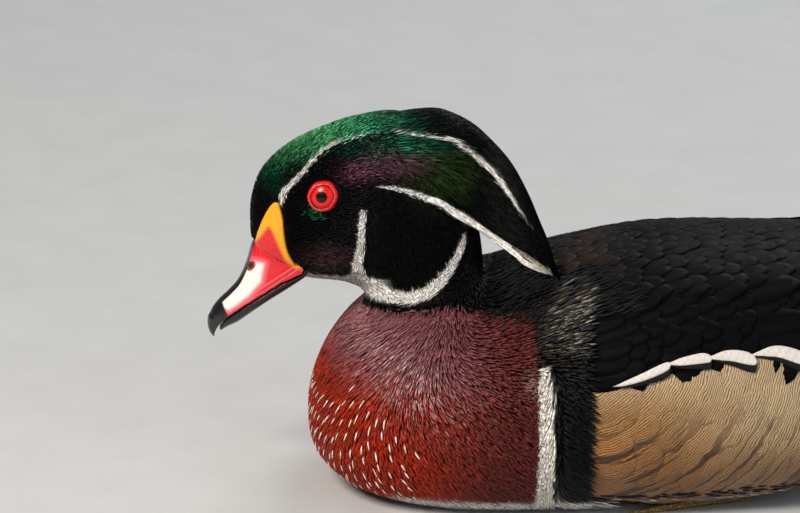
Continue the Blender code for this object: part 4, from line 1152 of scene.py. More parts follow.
@dataclass
class Skin:
    """The body under the coat: the trunk loft a coat's depth inside the solids, painted alike but darker, as painted
    shade in the gaps between the feathers.
    """

    markings: Markings
    down: DownFinish
    rows: int = 300
    around: int = 224

    @staticmethod
    def depth(row: Array, angle: Array) -> Array:
        """Metres under the outline: 1.2 mm on the head, more where long feathers lie over it."""
        turn = from_back(angle)
        trunk = 0.0018 + 0.0050 * ramp(row, 7.4, 6.2) * ramp(turn, 2, 12) * ramp(turn, 136, 128)
        return trunk + (0.0012 - trunk) * ramp(row, 12, 15)

    @staticmethod
    def bays(points: Array) -> Array:
        """Height of the belly's underside over legs and feet: hollows with smooth walls."""
        x, y = points[..., 0] / MM, np.abs(points[..., 1]) / MM
        centre = np.interp(x, (-102, -74, -11), (33, 33, 34.7))
        half = np.interp(x, (-102, -74, -11), (6.2, 9.2, 16.4))
        roof = np.interp(x, (-102, -82, -56, -11), (14.4, 14.4, 6.6, 5.9))
        within = ramp(np.abs(y - centre) - half, 1.0, 0.0) * ramp(x, -103.5, -102.5) * ramp(x, -9.5, -10.5)
        return roof * within * MM

    def build(self) -> None:
        """A closed tube of rings from the tail's root to the bill's root."""
        row, angle = np.meshgrid(np.linspace(0, HEAD_END, self.rows), np.arange(self.around) * 360 / self.around,
                                 indexing="ij")
        points = TRUNK.over(row, angle, -self.depth(row, angle))
        height = points[..., 2]
        roof = np.maximum(0.0004, self.bays(points))
        points[..., 2] = np.where(height < 0.02, np.maximum(height, roof), height)
        calm = np.zeros((*row.shape, 2))
        outline = TRUNK.point(row, angle)
        head, trunk = self.markings.head(outline, calm), self.markings.trunk(outline, row, angle, calm)
        # Painted shade: the skin takes 0.8 of the coat's colours, for the gaps between tufts.
        tint = shaded(np.where((row > TORSO_END)[..., None], head, trunk), 0.8)
        places, faces = capped_tube(points)
        make_piece("skin", places, faces, self.down.build(), "chestnut_feathers", with_ends(tint),
                   {"OFBake": tube_chart(row / HEAD_END, angle)}, ("torso", "neck", "head"))


@dataclass
class HeadCoat:
    """Short, dense, iridescent feathers of the face and crown, and the velvet ones of the neck."""

    markings: Markings
    down: DownFinish
    spacing: float = 0.00072
    face_length: float = 0.0020
    crown_length: float = 0.0042
    neck_length: float = 0.0045
    lid_radius: float = 0.0058

    def build(self) -> None:
        """Lengths grow from the bill to the nape; roots on the bill and lids are left out."""
        row, angle = scatter(TRUNK, (12.9, 26.0), (-180, 180), self.spacing, 3)
        point = TRUNK.point(row, angle)
        x, z, y = point[:, 0], point[:, 2], np.abs(point[:, 1])
        length = self.face_length + (self.crown_length - self.face_length) * ramp(x, 0.100, 0.055)
        length = np.where(row < NECK_END, self.neck_length, length)
        eye = np.hypot(x - EYE_X, z - EYE_Z)
        side = y > 0.006
        keep = ~(side & (eye < self.lid_radius))
        ahead = side & (x > EYE_X) & (eye < 0.0105)
        length = np.where(ahead, np.minimum(length, np.maximum(eye - 0.0050, 0.0010)), length)
        lobe = inside(x / MM, z / MM, np.concatenate([LOBE_REAR, LOBE_FRONT[::-1]]) / MM)
        keep &= ~((lobe < 0.2) & (y > 0.003))
        keep &= ~((x > 0.107) & (z < 0.0895)) & (row < 25.9)
        row, angle, length = row[keep], angle[keep], length[keep]
        source = np.random.default_rng(4)
        count = len(row)
        lay = follow(TRUNK, row, angle, source.normal(0, 0.10, count), (BROW, NAPE, CHEEK, THROAT, COLLAR))
        coat = Coat(
            TRUNK, row, angle, length * source.uniform(0.8, 1.25, count), source.uniform(0.00045, 0.00070, count),
            lay, np.full(count, 0.0012), top=0.00005,
        )
        flat, points, faces, chart = coat.build()
        tint = self.markings.head(flat, spread_loose(count, flat.shape[1], 5))
        trunk_row, trunk_angle = places_under(TRUNK, row, angle, flat)
        low = self.markings.trunk(flat, trunk_row, trunk_angle, spread_loose(count, flat.shape[1], 5))
        tint = np.where((trunk_row < 13.3)[..., None], low, tint)
        tint = vary(tint, 0.28, 6)
        for number, part in enumerate(np.array_split(np.arange(count), 3)):
            chosen = faces.reshape(count, -1, 3)[part] - part[0] * flat.shape[1]
            make_piece(f"head_coat_{number + 1}", points[part], chosen.reshape(-1, 3), self.down.build(),
                       "green_feathers", tint[part], {"OFBake": chart[part]})


@dataclass
class CrestCoat:
    """The hanging crest: long silky strands over an inner core."""

    markings: Markings
    down: DownFinish
    spacing: float = 0.00095
    length: float = 0.0105

    @staticmethod
    def half_width(row: Array) -> Array:
        """Half the crest's width, from its table."""
        return np.interp(row, range(10), [station[4] for station in CREST])

    @staticmethod
    def top(row: Array) -> Array:
        """Height of the strands' tips, sunk in front where the crown's feathers go on over them."""
        return np.interp(row, (0, 1, 2), (-0.0014, -0.0007, 0.0001))

    def build(self) -> None:
        """Strands follow the crest's loft towards its tip and lift to its outline."""
        row, angle = np.meshgrid(np.linspace(0.1, 8.6, 90), np.arange(72) * 5.0, indexing="ij")
        flat = HELMET.over(row, angle, -np.minimum(0.0022, 0.45 * self.half_width(row)))
        tint = self.markings.head(HELMET.point(row, angle), np.zeros((*row.shape, 2)))
        places, faces = capped_tube(HELMET.leaned(flat))
        # Painted shade: the core takes 0.6 of the crest's colours, for the gaps between its strands.
        make_piece("crest_core", places, faces, self.down.build(), "green_feathers", shaded(with_ends(tint), 0.6),
                   {"OFBake": tube_chart(row / 9, angle)}, ("crest",))
        row, angle = scatter(HELMET, (-0.3, 8.9), (-180, 180), self.spacing, 7)
        source = np.random.default_rng(8)
        count = len(row)
        length = self.length * source.uniform(0.75, 1.2, count) * np.interp(row, (0, 1.5, 7, 9), (0.6, 1, 1, 0.55))
        lay = follow(HELMET, row, angle, source.normal(0, 0.06, count), (BROW, NAPE))
        flat, points, faces, chart = Coat(
            HELMET, row, angle, length, source.uniform(0.00045, 0.0008, count), lay,
            np.minimum(0.0021, 0.4 * self.half_width(row)), top=self.top, rings=(0.25, 0.55, 0.85),
            blade=(0.8, 1.0, 0.55),
        ).build()
        tint = vary(self.markings.head(flat, spread_loose(count, flat.shape[1], 9)), 0.3, 10)
        make_piece("crest_strands", points, faces, self.down.build(), "green_feathers", tint, {"OFBake": chart})


@dataclass
class Band:
    """The white band under the crest: silky strands that run down its lower edge to the shoulder."""

    down: DownFinish
    strands: int = 420

    def build(self) -> None:
        """Each strand follows a stretch of the band's path, set off inside its thickness."""
        source = np.random.default_rng(91)
        count = self.strands
        start = source.uniform(-0.02, 0.93, count)
        reach = source.uniform(0.10, 0.22, count)
        at = np.clip(start[:, None] + reach[:, None] * np.linspace(0, 1, 6)[None], 0, 1)
        path = spline(BAND, at * (len(BAND) - 1))
        offset = path[..., 3:] * source.normal(0, 0.42, (count, 1, 2)).clip(-1, 1)
        half = (0.00028 * np.array((0.3, 0.9, 1.0, 0.9, 0.6, 0.15)))[None, :, None]
        tint = blend(WHITE + np.zeros((count, 6, 4)), tone("#8f8a7c"), ramp(at, 0.72, 1.0))
        tint = vary(np.repeat(tint[:, :, None], 4, 2).reshape(count, 24, 4), 0.15, 92)
        patch = np.stack(np.meshgrid(np.arange(6), np.arange(4), indexing="ij"), -1).reshape(-1, 2) / 140
        chart = cells(count, 21)[:, None] / 21 + patch + 0.004
        for side in Side:
            line = path[..., :3].copy()
            if side is Side.RIGHT:
                line[..., 1] = 2 * crest_lean(line[..., 0] * MM) / MM - line[..., 1]
            line[..., 1] += side.value * 0.5 * offset[..., 0]
            line[..., 2] += offset[..., 1]
            line = line * MM
            heading = unit(np.gradient(line, axis=1))
            out = unit(np.cross(heading, (0, 0, 1.0)))
            up = np.cross(out, heading)
            ring = np.stack([line - up * half, line + out * half * 0.5, line + up * half, line - out * half * 0.5], 2)
            make_piece(f"crest_band_{side.word}", ring, strand_faces(count), self.down.build(), "white_feathers",
                       tint, {"OFBake": chart})


@dataclass
class BreastCoat:
    """Satin chestnut breast with white dashes, the white and black bars, the belly and the mantle."""

    markings: Markings
    down: DownFinish
    spacing: float = 0.00115
    droop: float = 0.55

    def build(self) -> None:
        """Four coats: breast of each side, belly and neck base."""
        for side, span in ((Side.LEFT, (0, 180)), (Side.RIGHT, (-180, 0))):
            self._coat(f"breast_{side.word}", (4.8, 13.3), span, spacing=self.spacing, length=0.0062, width=0.00095,
                       sink=0.0018, seed=11 + side.value, wanted=self._is_breast)
            self._dashes(side)
        self._coat("belly", (0.0, 8.6), (96, 264), spacing=0.0026, length=0.0095, width=0.0021, sink=0.0020,
                   seed=21, wanted=self._is_belly)
        self._coat("shoulders", (4.6, 13.2), (-92, 92), spacing=0.0016, length=0.0085, width=0.0013, sink=0.0024,
                   seed=31, wanted=self._is_shoulder)

    def _dashes(self, side: Side) -> None:
        """White arrow-tip feathers spaced over the lower front of the breast."""
        row, angle = scatter(TRUNK, (6.9, 10.9), (92, 180), 0.0052, 51)
        point = TRUNK.point(row, angle) / MM
        keep = (point[:, 2] + 0.8 * (85 - point[:, 0]) < 57) & (point[:, 0] > 55) & (point[:, 2] > 7)
        row, angle = row[keep], angle[keep] * side.value
        count = len(row)
        source = np.random.default_rng(52)
        lay = side.value * self.droop * ramp(np.abs(angle), 178, 150) + source.normal(0, 0.08, count)
        flat, points, faces, chart = Coat(
            TRUNK, row, angle, source.uniform(0.0034, 0.0050, count), source.uniform(0.0006, 0.0009, count), lay,
            np.full(count, 0.0004), top=0.0005, floor=0.0003,
        ).build()
        tint = WHITE * (0.95, 0.9, 0.86, 1) + np.zeros((count, flat.shape[1], 4))
        make_piece(f"breast_{side.word}_dashes", points, faces, self.down.build(), "white_feathers",
                   vary(tint, 0.1, 53), {"OFBake": chart})

    @staticmethod
    def _is_breast(row: Array, angle: Array, point: Array) -> Array:
        """Roots of breast and bars: in front of the flank, below the neck base."""
        turn = from_back(angle)
        edge = np.interp(row, BREAST_ROWS, BREAST_TOPS)
        return (turn > edge - 3) & (point[:, 0] > -0.0035) & (point[:, 2] > 0.002)

    @staticmethod
    def _is_belly(row: Array, angle: Array, point: Array) -> Array:
        """Roots under the body, off the hollows of the legs."""
        turn = from_back(angle)
        behind = (point[:, 0] < -0.115) & ((turn > 126) | (point[:, 0] < -0.150))
        low = (point[:, 2] < 0.010) | behind
        return low & (Skin.bays(point) < 0.001) & ((point[:, 0] < -0.004) | (point[:, 2] < 0.002))

    @staticmethod
    def _is_shoulder(row: Array, angle: Array, point: Array) -> Array:
        """Roots above the breast's upper border, back to the shoulder patch."""
        turn = from_back(angle)
        edge = np.interp(row, BREAST_ROWS, BREAST_TOPS)
        return (turn < edge + 2) & (point[:, 0] > np.where(point[:, 2] < 0.054, -0.0035, -0.019)) & (turn < 82)

    def _coat(self, name: str, rows: tuple, angles: tuple, spacing: float, length: float, width: float,
              sink: float, seed: int, wanted: Callable) -> None:
        """One coat of the trunk.

        Args:
            name: The piece's name.
            rows: First and last row of roots.
            angles: First and last angle of roots.
            spacing: Metres between roots.
            length: Metres.
            width: Metres.
            sink: Depth of the roots, metres.
            seed: Start of its random numbers.
            wanted: Test of row, angle and point that says where roots are kept.
        """
        row, angle = scatter(TRUNK, rows, angles, spacing, seed)
        keep = wanted(row, angle, TRUNK.point(row, angle))
        row, angle = row[keep], angle[keep]
        source = np.random.default_rng(seed)
        count = len(row)
        turn = (angle + 180) % 360 - 180
        slant = self.droop * ramp(np.abs(turn), 45, 80) * ramp(np.abs(turn), 178, 150) * name.startswith("breast")
        lay = follow(TRUNK, row, angle, source.normal(0, 0.1, count) + np.sign(turn) * slant, (BAR,))
        flat, points, faces, chart = Coat(
            TRUNK, row, angle, length * source.uniform(0.8, 1.2, count), width * source.uniform(0.8, 1.2, count),
            lay, np.full(count, sink), top=0.0001, floor=0.0003,
        ).build()
        rows_at, angles_at = places_under(TRUNK, row, angle, flat)
        tint = self.markings.trunk(flat, rows_at, angles_at, spread_loose(count, flat.shape[1], seed + 1))
        make_piece(name, points, faces, self.down.build(), "chestnut_feathers", vary(tint, 0.2, seed + 2),
                   {"OFBake": chart})


# ---- vanes of back, wing, flank and tail


def lattice(x: tuple, angle: tuple, step: float, pitch: float, seed: int) -> tuple[Array, Array]:
    """Staggered rows of places like roof tiles: x every step, angle every pitch, odd rows half over."""
    places = []
    for number, at in enumerate(np.arange(x[0], x[1], -step)):
        across = np.arange(angle[0] + (number % 2) * pitch / 2, angle[1], pitch)
        places.append(np.stack([np.full(len(across), at), across], -1))
    places = np.concatenate(places)
    source = np.random.default_rng(seed)
    places += np.stack([source.normal(0, spread, len(places)) for spread in (step * 0.12, pitch * 0.1)], -1)
    return places[:, 0], places[:, 1]


@dataclass
class Mantle:
    """Dark, bronzed feathers of the back and shoulders, like roof tiles."""

    vane: VaneFinish

    def build(self) -> None:
        """Small feathers in front, longer ones behind, and the shoulder feathers of each side."""
        self._tiles("mantle", (0.016, -0.120), (-14, 14.1), step=0.0048, pitch=5.2, length=0.0140, width=0.0088,
                    seed=41)
        self._tiles("rump", (-0.105, -0.184), (-88, 88.1), step=0.0060, pitch=13.0, length=0.0180, width=0.0110,
                    seed=43)
        for side in Side:
            self._tiles(f"scapulars_{side.word}_coat", (-0.004, -0.088), (12, 39), step=0.0062, pitch=5.0,
                        length=0.0240, width=0.0100, seed=45 + side.value, side=side)

    def _tiles(self, name: str, x: tuple, angles: tuple, step: float, pitch: float, length: float, width: float,
               seed: int, side: Side | None = None) -> None:
        """One field of feathers.

        Args:
            name: The piece's name.
            x: Front and rear, metres.
            angles: Upper and lower angle.
            step: Metres from row to row.
            pitch: Degrees from feather to feather.
            length: Metres.
            width: Metres.
            seed: Start of its random numbers.
            side: The side whose shoulder it is.
        """
        at, angle = lattice(x, angles, step, pitch, seed)
        clear = (np.abs(angle) < 64) | (at < -0.150)
        at, angle = at[clear], angle[clear]
        if side:
            angle = angle * side.value
        row = TRUNK.row_at(at, angle)
        count = len(row)
        source = np.random.default_rng(seed + 100)
        grow = np.interp(at, (x[1], x[0]), (1.3, 0.75)) if side else np.ones(count)
        mesh = Vanes(
            TRUNK, row, angle, length * grow * source.uniform(0.9, 1.1, count), width * grow,
            source.normal(0, 0.05, count), np.full(count, -0.0036 if side else -0.0022), np.full(count, -0.0001),
            source.normal(0, 0.00015, count),
        ).build()
        x_mm, turn = mesh["points"][..., 0] / MM, from_back(mesh["angle"])
        tint = np.broadcast_to(tone("#070808", 0.3), (*x_mm.shape, 4))
        tint = blend(tint, tone("#0c0b0c", 0.4), ramp(mesh["s"], 0.75, 1.0) * 0.4)
        bronze = ramp(x_mm, 6, 0) * ramp(x_mm, -24, -8) * ramp(turn, 34, 16)
        tint = blend(tint, tone("#4a3422", 0.6), bronze * 0.4)
        tint = shaded(tint, np.exp(source.normal(0, 0.15, (count, 1, 1, 1))))
        make_piece(name, mesh["points"], mesh["faces"], self.vane.build(), "black_feathers", tint, mesh["maps"],
                   (f"scapulars_{side.word}",) if side else ())


@dataclass
class Wing:
    """The folded wing: coverts, tertials that cloak it, and the crossed primaries over the rump."""

    vane: VaneFinish
    side: Side

    def build(self) -> None:
        """Four fields of feathers, long and short, on the folded wing's own outline."""
        source = np.random.default_rng(60 + self.side.value)
        fields = (  # x, angle, length, width, height of root and tip, lay
            (*lattice((0.001, -0.060), (34, 78), 0.0066, 6.5, 61), 0.021, 0.0100, -0.0030, -0.0006, 0.02),
            (*lattice((-0.030, -0.095), (30, 70), 0.0130, 8.5, 62), 0.052, 0.0140, -0.0040, -0.0003, 0.0),
            (*np.linspace((-0.060, 30, 0.105), (-0.100, 62, 0.070), 6).T, 0.0170, -0.0030, 0.0004, -0.02),
            (*np.linspace((-0.105, 34, 0.106), (-0.112, 72, 0.086), 6).T, 0.0095, -0.0050, -0.0006, -0.04),
        )
        columns = [np.concatenate([np.broadcast_to(f[k], f[0].shape) for f in fields]) for k in range(7)]
        at, angle, length, width, low, high, lay = columns
        angle = angle * self.side.value
        row = FOLDED.row_at(at, angle)
        count = len(row)
        mesh = Vanes(
            FOLDED, row, angle, length * source.uniform(0.95, 1.05, count), width,
            lay * self.side.value + source.normal(0, 0.02, count), low, high + source.normal(0, 0.0001, count),
            np.full(count, 0.00015), grid=(13, 5), camber=0.0003,
        ).build()
        front = (at > -0.1)[:, None, None, None]
        quill = (at < -0.1)[:, None, None, None] * 1.0
        tint = np.broadcast_to(tone("#060607", 0.3), (*mesh["s"].shape, 4))
        tint = blend(tint, tone("#0b0d16", 0.5), 0.25 * ramp(mesh["s"], 0.6, 0.95) * front)
        tint = blend(tint, tone("#3c4046", 0.2), quill)
        tint = blend(tint, tone("#9aa0a6", 0.2), quill * ramp(np.abs(mesh["t"]), 0.7, 1.0) * 0.7)
        make_piece(f"wing_{self.side.word}_coat", mesh["points"], mesh["faces"], self.vane.build(),
                   "black_feathers", tint, mesh["maps"], (f"wing_{self.side.word}",))


@dataclass(frozen=True)
class FlankFinish:
    """Flank feathers with fine dark wavy bars across them, about 0.85 mm apart, that run on from
    feather to feather as on a well-preened bird, and dark partings lower down, painted shade in the gaps between
    feathers."""

    name: str = "vermiculated buff flank feathers"
    pitch_mm: float = 0.85
    roughness: float = 0.6
    centre_mm: tuple = (2.0, 60.0, 72.0)

    @lru_cache(maxsize=None)
    def build(self) -> Material:
        """Bars are rings at distance from the shoulder, bent and broken by noise; Alpha is their depth."""
        material, tree, shader = principled(self.name, Roughness=self.roughness, Sheen_Weight=0.12,
                                            Specular_IOR_Level=0.3)
        tint = add_node(tree, "Attribute", attribute_name="Tint")
        place = add_node(tree, "TexCoord")
        at = add_node(tree, "SeparateXYZ", {0: place.outputs["Object"]})
        wide = add_node(tree, "Math", {0: at.outputs[1]}, operation="ABSOLUTE")
        near = add_node(tree, "CombineXYZ", {0: at, 1: wide, 2: at.outputs[2]})
        centre = tuple(value * MM for value in self.centre_mm)
        away = add_node(tree, "VectorMath", {0: near, 1: centre}, operation="DISTANCE")
        bend = add_node(tree, "TexNoise", {"Vector": near, "Scale": 160.0, "Detail": 1.0})
        wobble = add_node(tree, "TexNoise", {"Vector": near, "Scale": 700.0, "Detail": 2.0})
        coarse = add_node(tree, "Math", {0: bend, 1: 0.0024, 2: away.outputs["Value"]}, operation="MULTIPLY_ADD")
        bent = add_node(tree, "Math", {0: wobble, 1: 0.0008, 2: coarse}, operation="MULTIPLY_ADD")
        wave = add_node(tree, "Math", {0: bent, 1: 1000 * PERIOD / self.pitch_mm}, operation="MULTIPLY")
        line = add_node(tree, "Math", {0: wave}, operation="SINE")
        level = add_node(tree, "Math", {0: wobble, 1: 1.4, 2: line}, operation="MULTIPLY_ADD")
        dark = add_node(tree, "MapRange", {"Value": level, 1: 0.45, 2: 1.35, 3: 0.0, 4: 0.85})
        drawn = add_node(tree, "Math", {0: at, 1: 0.05}, operation="MULTIPLY")
        lie = add_node(tree, "CombineXYZ", {0: coarse, 1: drawn})
        # Partings: painted shade in the gaps between the lower feathers.
        parted = add_node(tree, "TexNoise", {"Vector": lie, "Scale": 640.0, "Detail": 1.5})
        gap = add_node(tree, "MapRange", {"Value": parted, 1: 0.53, 2: 0.58, 3: 0.0, 4: 0.95})
        lower = add_node(tree, "MapRange", {"Value": at.outputs[2], 1: 0.050, 2: 0.028, 3: 0.0, 4: 1.0})
        parting = add_node(tree, "Math", {0: gap, 1: lower}, operation="MULTIPLY")
        either = add_node(tree, "Math", {0: dark, 1: parting}, operation="MAXIMUM")
        amount = add_node(tree, "Math", {0: either, 1: tint.outputs["Alpha"]}, operation="MULTIPLY")
        colour = add_node(tree, "Mix", {0: amount, 6: tint, 7: (*linear("#3a2412"), 1)}, data_type="RGBA")
        bump = add_node(tree, "Bump", {"Height": line, "Distance": 0.00006, "Strength": 0.35})
        fill_sockets(tree, shader, {"Base Color": colour.outputs[2], "Normal": bump})
        return material


@dataclass
class Flank:
    """The broad buff side feathers, the white crescents with black rims above them, and plumes."""

    side: Side
    flank: FlankFinish
    plain: DownFinish
    down: DownFinish

    def build(self) -> None:
        """Feathers, crescents and plumes of one side."""
        self._feathers()
        self._crescents()
        self._plumes()

    def _feathers(self) -> None:
        """Tiles that point back and down, paler above, rusty below."""
        places = []
        upper, lower = (82, 75.0, 69.0, 67.2, 66.2, 66.2, 68.4, 74.5), (118, 123, 126, 126, 126, 124, 118, 108)
        steps = np.arange(-0.0035, -0.128, -0.0062)
        for number, at in enumerate(steps):
            share = (0.004 - at) / 0.154
            top, low = (np.interp(share, np.linspace(0, 1, 8), values) for values in (upper, lower))
            across = np.arange(top + (number % 2) * 3.5 - 2.5, low - 2, 7.0)
            across = np.append(across, top - 2.5) if number % 2 else across
            places.append(np.stack([np.full(len(across), at), across, (across - top) / (low - top)], -1))
        places = np.concatenate(places)
        source = np.random.default_rng(70)
        at, angle, down_share = places.T
        count = len(at)
        angle = (angle + source.normal(0, 0.8, count)) * self.side.value
        row = TRUNK.row_at(at, angle)
        reach = np.interp(at, (-0.128, -0.02, 0.0), (0.026, 0.032, 0.020)) * source.uniform(0.9, 1.1, count)
        lay = self.side.value * (0.45 + 0.30 * down_share) + source.normal(0, 0.05, count)
        mesh = Vanes(
            TRUNK, row, angle, reach, np.full(count, 0.0165), lay, -0.0021 - 0.0016 * down_share,
            -0.0002 + source.normal(0, 0.00003, count), source.normal(0, 0.00003, count), grid=(15, 7),
            camber=0.0, thick=0.0001, tuck=0.0006 * (1 - 0.6 * down_share),
        ).build()
        x, z = mesh["points"][..., 0] / MM, mesh["points"][..., 2] / MM
        front = ramp(x, -75, -15) * ramp(z, 60, 40)
        low = ramp(z, 44, 14)
        tint = blend(tone("#c8ae86", 0.85), tone("#b07c42", 1.0), np.clip(0.9 * front + 0.35 * low, 0, 1))
        tint = blend(tint, tone("#8a5a30", 1.0), low * 0.55)
        shade = np.exp(source.normal(0, 0.07, count))[:, None, None, None]
        # Painted shade: the lower feathers are darker at their tips, where they overlap the next ones.
        edge = 1 - 0.45 * ramp(mesh["s"], 0.9, 1.0) * low
        make_piece(f"flank_{self.side.word}_coat", mesh["points"], mesh["faces"], self.flank.build(),
                   "buff_feathers", shaded(tint, shade * edge), mesh["maps"], (f"flank_{self.side.word}",))

    def _crescents(self) -> None:
        """Lens-shaped plates: white crescents, each over a black rim that is wider to the rear."""
        steps, columns, count = 24, 7, len(CRESCENTS)
        share, across = np.linspace(0, 1, steps)[:, None], np.linspace(-1, 1, columns)[None]
        faces = copies(sheet_faces(steps, columns), count, 2 * steps * columns)
        for name, shift, swell, height, code, slot in (
            ("rims", -1.6, 1.15, 0.0002, "#050505", "black_feathers"),
            ("crescents", 0.0, 0.95, 0.0005, "#e4dcd4", "white_feathers"),
        ):
            points, charts = [], []
            for number, path in enumerate(CRESCENTS):
                line = spline(path, np.linspace(0, len(path) - 1, steps)) * MM
                half = line[:, None, 2] * swell * (1 + 0.4 * (shift != 0) * share)
                half = half * ramp(share, -0.02, 0.3) * ramp(share, 1.02, 0.9) * 1.05
                x = line[:, None, 0] + 0 * across
                z = line[:, None, 1] + across * half + shift * MM * share
                row, angle = self._side_place(x, z)
                lift = height + 0.0003 * (1 - across**2) + 0 * share
                points.append([TRUNK.over(row, angle, lift - depth) * self.side.flip for depth in (0, 0.0012)])
                cell = np.stack([share + 0 * across, (across / 2 + 0.5 + number) / count + 0 * share], -1)
                charts.append([cell * 0.94 + 0.03] * 2)
            tint = shaded(tone(code), 1 + 0.12 * np.sin(share * 90 + across * 3))
            make_piece(f"flank_{self.side.word}_{name}", np.array(points), faces, self.plain.build(), slot,
                       np.broadcast_to(tint, (count, 2, *tint.shape)), {"OFBake": np.array(charts)})

    @staticmethod
    def _side_place(x: Array, z: Array) -> tuple[Array, Array]:
        """Row and angle of the trunk's left side at x and z, by halving the angle."""
        low, high = np.full(x.shape, 30.0), np.full(x.shape, 130.0)
        for _ in range(18):
            middle = (low + high) / 2
            row = TRUNK.row_at(x, middle)
            above = TRUNK.point(row, middle)[..., 2] > z
            low, high = np.where(above, middle, low), np.where(above, high, middle)
        return row, (low + high) / 2

    def _plumes(self) -> None:
        """Long hair-fine maroon and bronze plumes from the rear of the flank."""
        source = np.random.default_rng(80)
        count = 260
        angle = np.array([86.0])
        start = TRUNK.over(TRUNK.row_at(np.array([-0.1515]), angle), angle, np.array([-0.0012]))[0]
        root = start + source.normal(0, 1, (count, 3)).clip(-2, 2) * (0.004, 0.0006, 0.0032)
        spread = source.uniform(-0.5, 0.5, count)
        back = -0.034 - 0.012 * source.uniform(0, 1, count)
        reach = np.stack([back, np.full(count, -0.006), 0.008 + 0.020 * spread], -1)
        share = np.linspace(0, 1, 6)[None, :, None]
        bend = np.array([0, 0.002, 0.003]) * np.sin(np.pi * share)
        path = root[:, None] + share * reach[:, None] + bend + source.normal(0, 0.0004, (count, 1, 3)) * share
        up = np.array([0, 0, 0.00035]) * (1 - 0.85 * share)
        out = np.array([0.2, 1.0, 0.0]) * 0.0001
        ring = np.stack([path - up, path + out, path + up, path - out], 2) * self.side.flip
        orange = (source.uniform(size=count) < 0.22)[:, None, None, None]
        tint = np.where(orange, tone("#b0602a", 0.3), tone("#5a1428", 0.4)) * np.ones((count, 6, 4, 1))
        chart = np.repeat(cells(count, 17)[:, None] / 17 + 0.02, 24, 1)
        make_piece(f"side_plumes_{self.side.word}_hairs", ring, strand_faces(count), self.down.build(),
                   "maroon_feathers", vary(tint.reshape(count, 24, 4), 0.3, 82), {"OFBake": chart},
                   (f"side_plumes_{self.side.word}",))


@dataclass
class Tail:
    """The wedge of dark tail feathers with coverts over and under it."""

    vane: VaneFinish
    length: float = 0.110
    pairs: int = 7

    @staticmethod
    def fan(out: Array, aside: Array, height: Array) -> Array:
        """A point of the tail: distance out from its root, share aside from -1 to 1, and height."""
        turn = np.radians(TAIL_SPREAD) * aside
        ahead = out * np.cos(turn)
        y = TAIL_HALF_ROOT * aside + out * np.sin(turn)
        rise = np.radians(TAIL_RISE)
        up = height - TAIL_ARCH * y**2
        x = TAIL_ROOT[0] - ahead * np.cos(rise) + up * np.sin(rise)
        return np.stack([x, y, TAIL_ROOT[2] + ahead * np.sin(rise) + up * np.cos(rise)], -1)

    def build(self) -> None:
        """Every feather is a grid in the fan's own shares, shaped by its outline."""
        feathers = []
        for pair in range(self.pairs):
            aside = (pair + 0.4) / self.pairs
            reach = self.length * (1 - 0.16 * aside**2)
            for sign in (1, -1):
                feathers.append((sign * aside, 0.002 - 0.0008 * pair + 0.0003 * sign, 0.0, reach, 0.0145))
        for count, reach, lift in ((5, 0.070, 0.0032), (6, 0.050, 0.0044), (5, 0.032, 0.0056)):
            for aside in np.linspace(-0.75, 0.75, count):
                feathers.append((aside, lift - 0.0006 * abs(aside), -0.004, reach * (1 - 0.1 * abs(aside)), 0.0150))
                feathers.append((aside, -lift - 0.0016, -0.004, reach * 1.2, 0.0150))
        place = np.array(feathers)[:, :, None, None]
        steps, columns, count = 15, 7, len(feathers)
        share, across = np.linspace(0, 1, steps)[None, :, None], np.linspace(-1, 1, columns)[None, None]
        outline = np.interp(share, (0, 0.3, 0.8, 0.93, 1.0), (0.4, 0.75, 1.0, 0.7, 0.15))
        aside, height, start, reach, width = (place[:, k] for k in range(5))
        out = start + reach * share
        half = width / 2 * outline * across
        camber = 0.0007 * (1 - across**2)
        base = self.fan(out + 0 * across, aside + 0 * out + 0 * across, height + camber + 0 * out)
        turn = np.radians(TAIL_SPREAD) * aside
        sag = 0 * half - 2 * TAIL_ARCH * half * base[..., 1]
        outer = base + np.stack([np.sin(turn) * half, np.cos(turn) * half, sag], -1)
        points = np.stack([outer, outer - np.array([0.25, 0, 0.95]) * 0.0003], 1)
        ones = np.ones((count, 2, steps, columns))
        tint = blend(tone("#0d0f0d", 0.4), tone("#2a2418", 0.6), ramp(share, 0.3, 0.9)[:, None] * ones)
        tint = blend(tint, tone("#241510", 0.2), (height < -0.004)[:, None] * ones)
        barbs = np.stack([half[:, None] * BARBS_SCALE * ones, (reach * share)[:, None] * BARBS_SCALE * ones], -1)
        chart = vane_chart(across[:, None] * ones, share[:, None] * ones)
        make_piece("tail_feathers", points, copies(sheet_faces(steps, columns), count, 2 * steps * columns),
                   self.vane.build(), "black_feathers", tint, {"OFBake": chart, "Barbs": barbs}, ("tail",))


# ---- bill and eyes


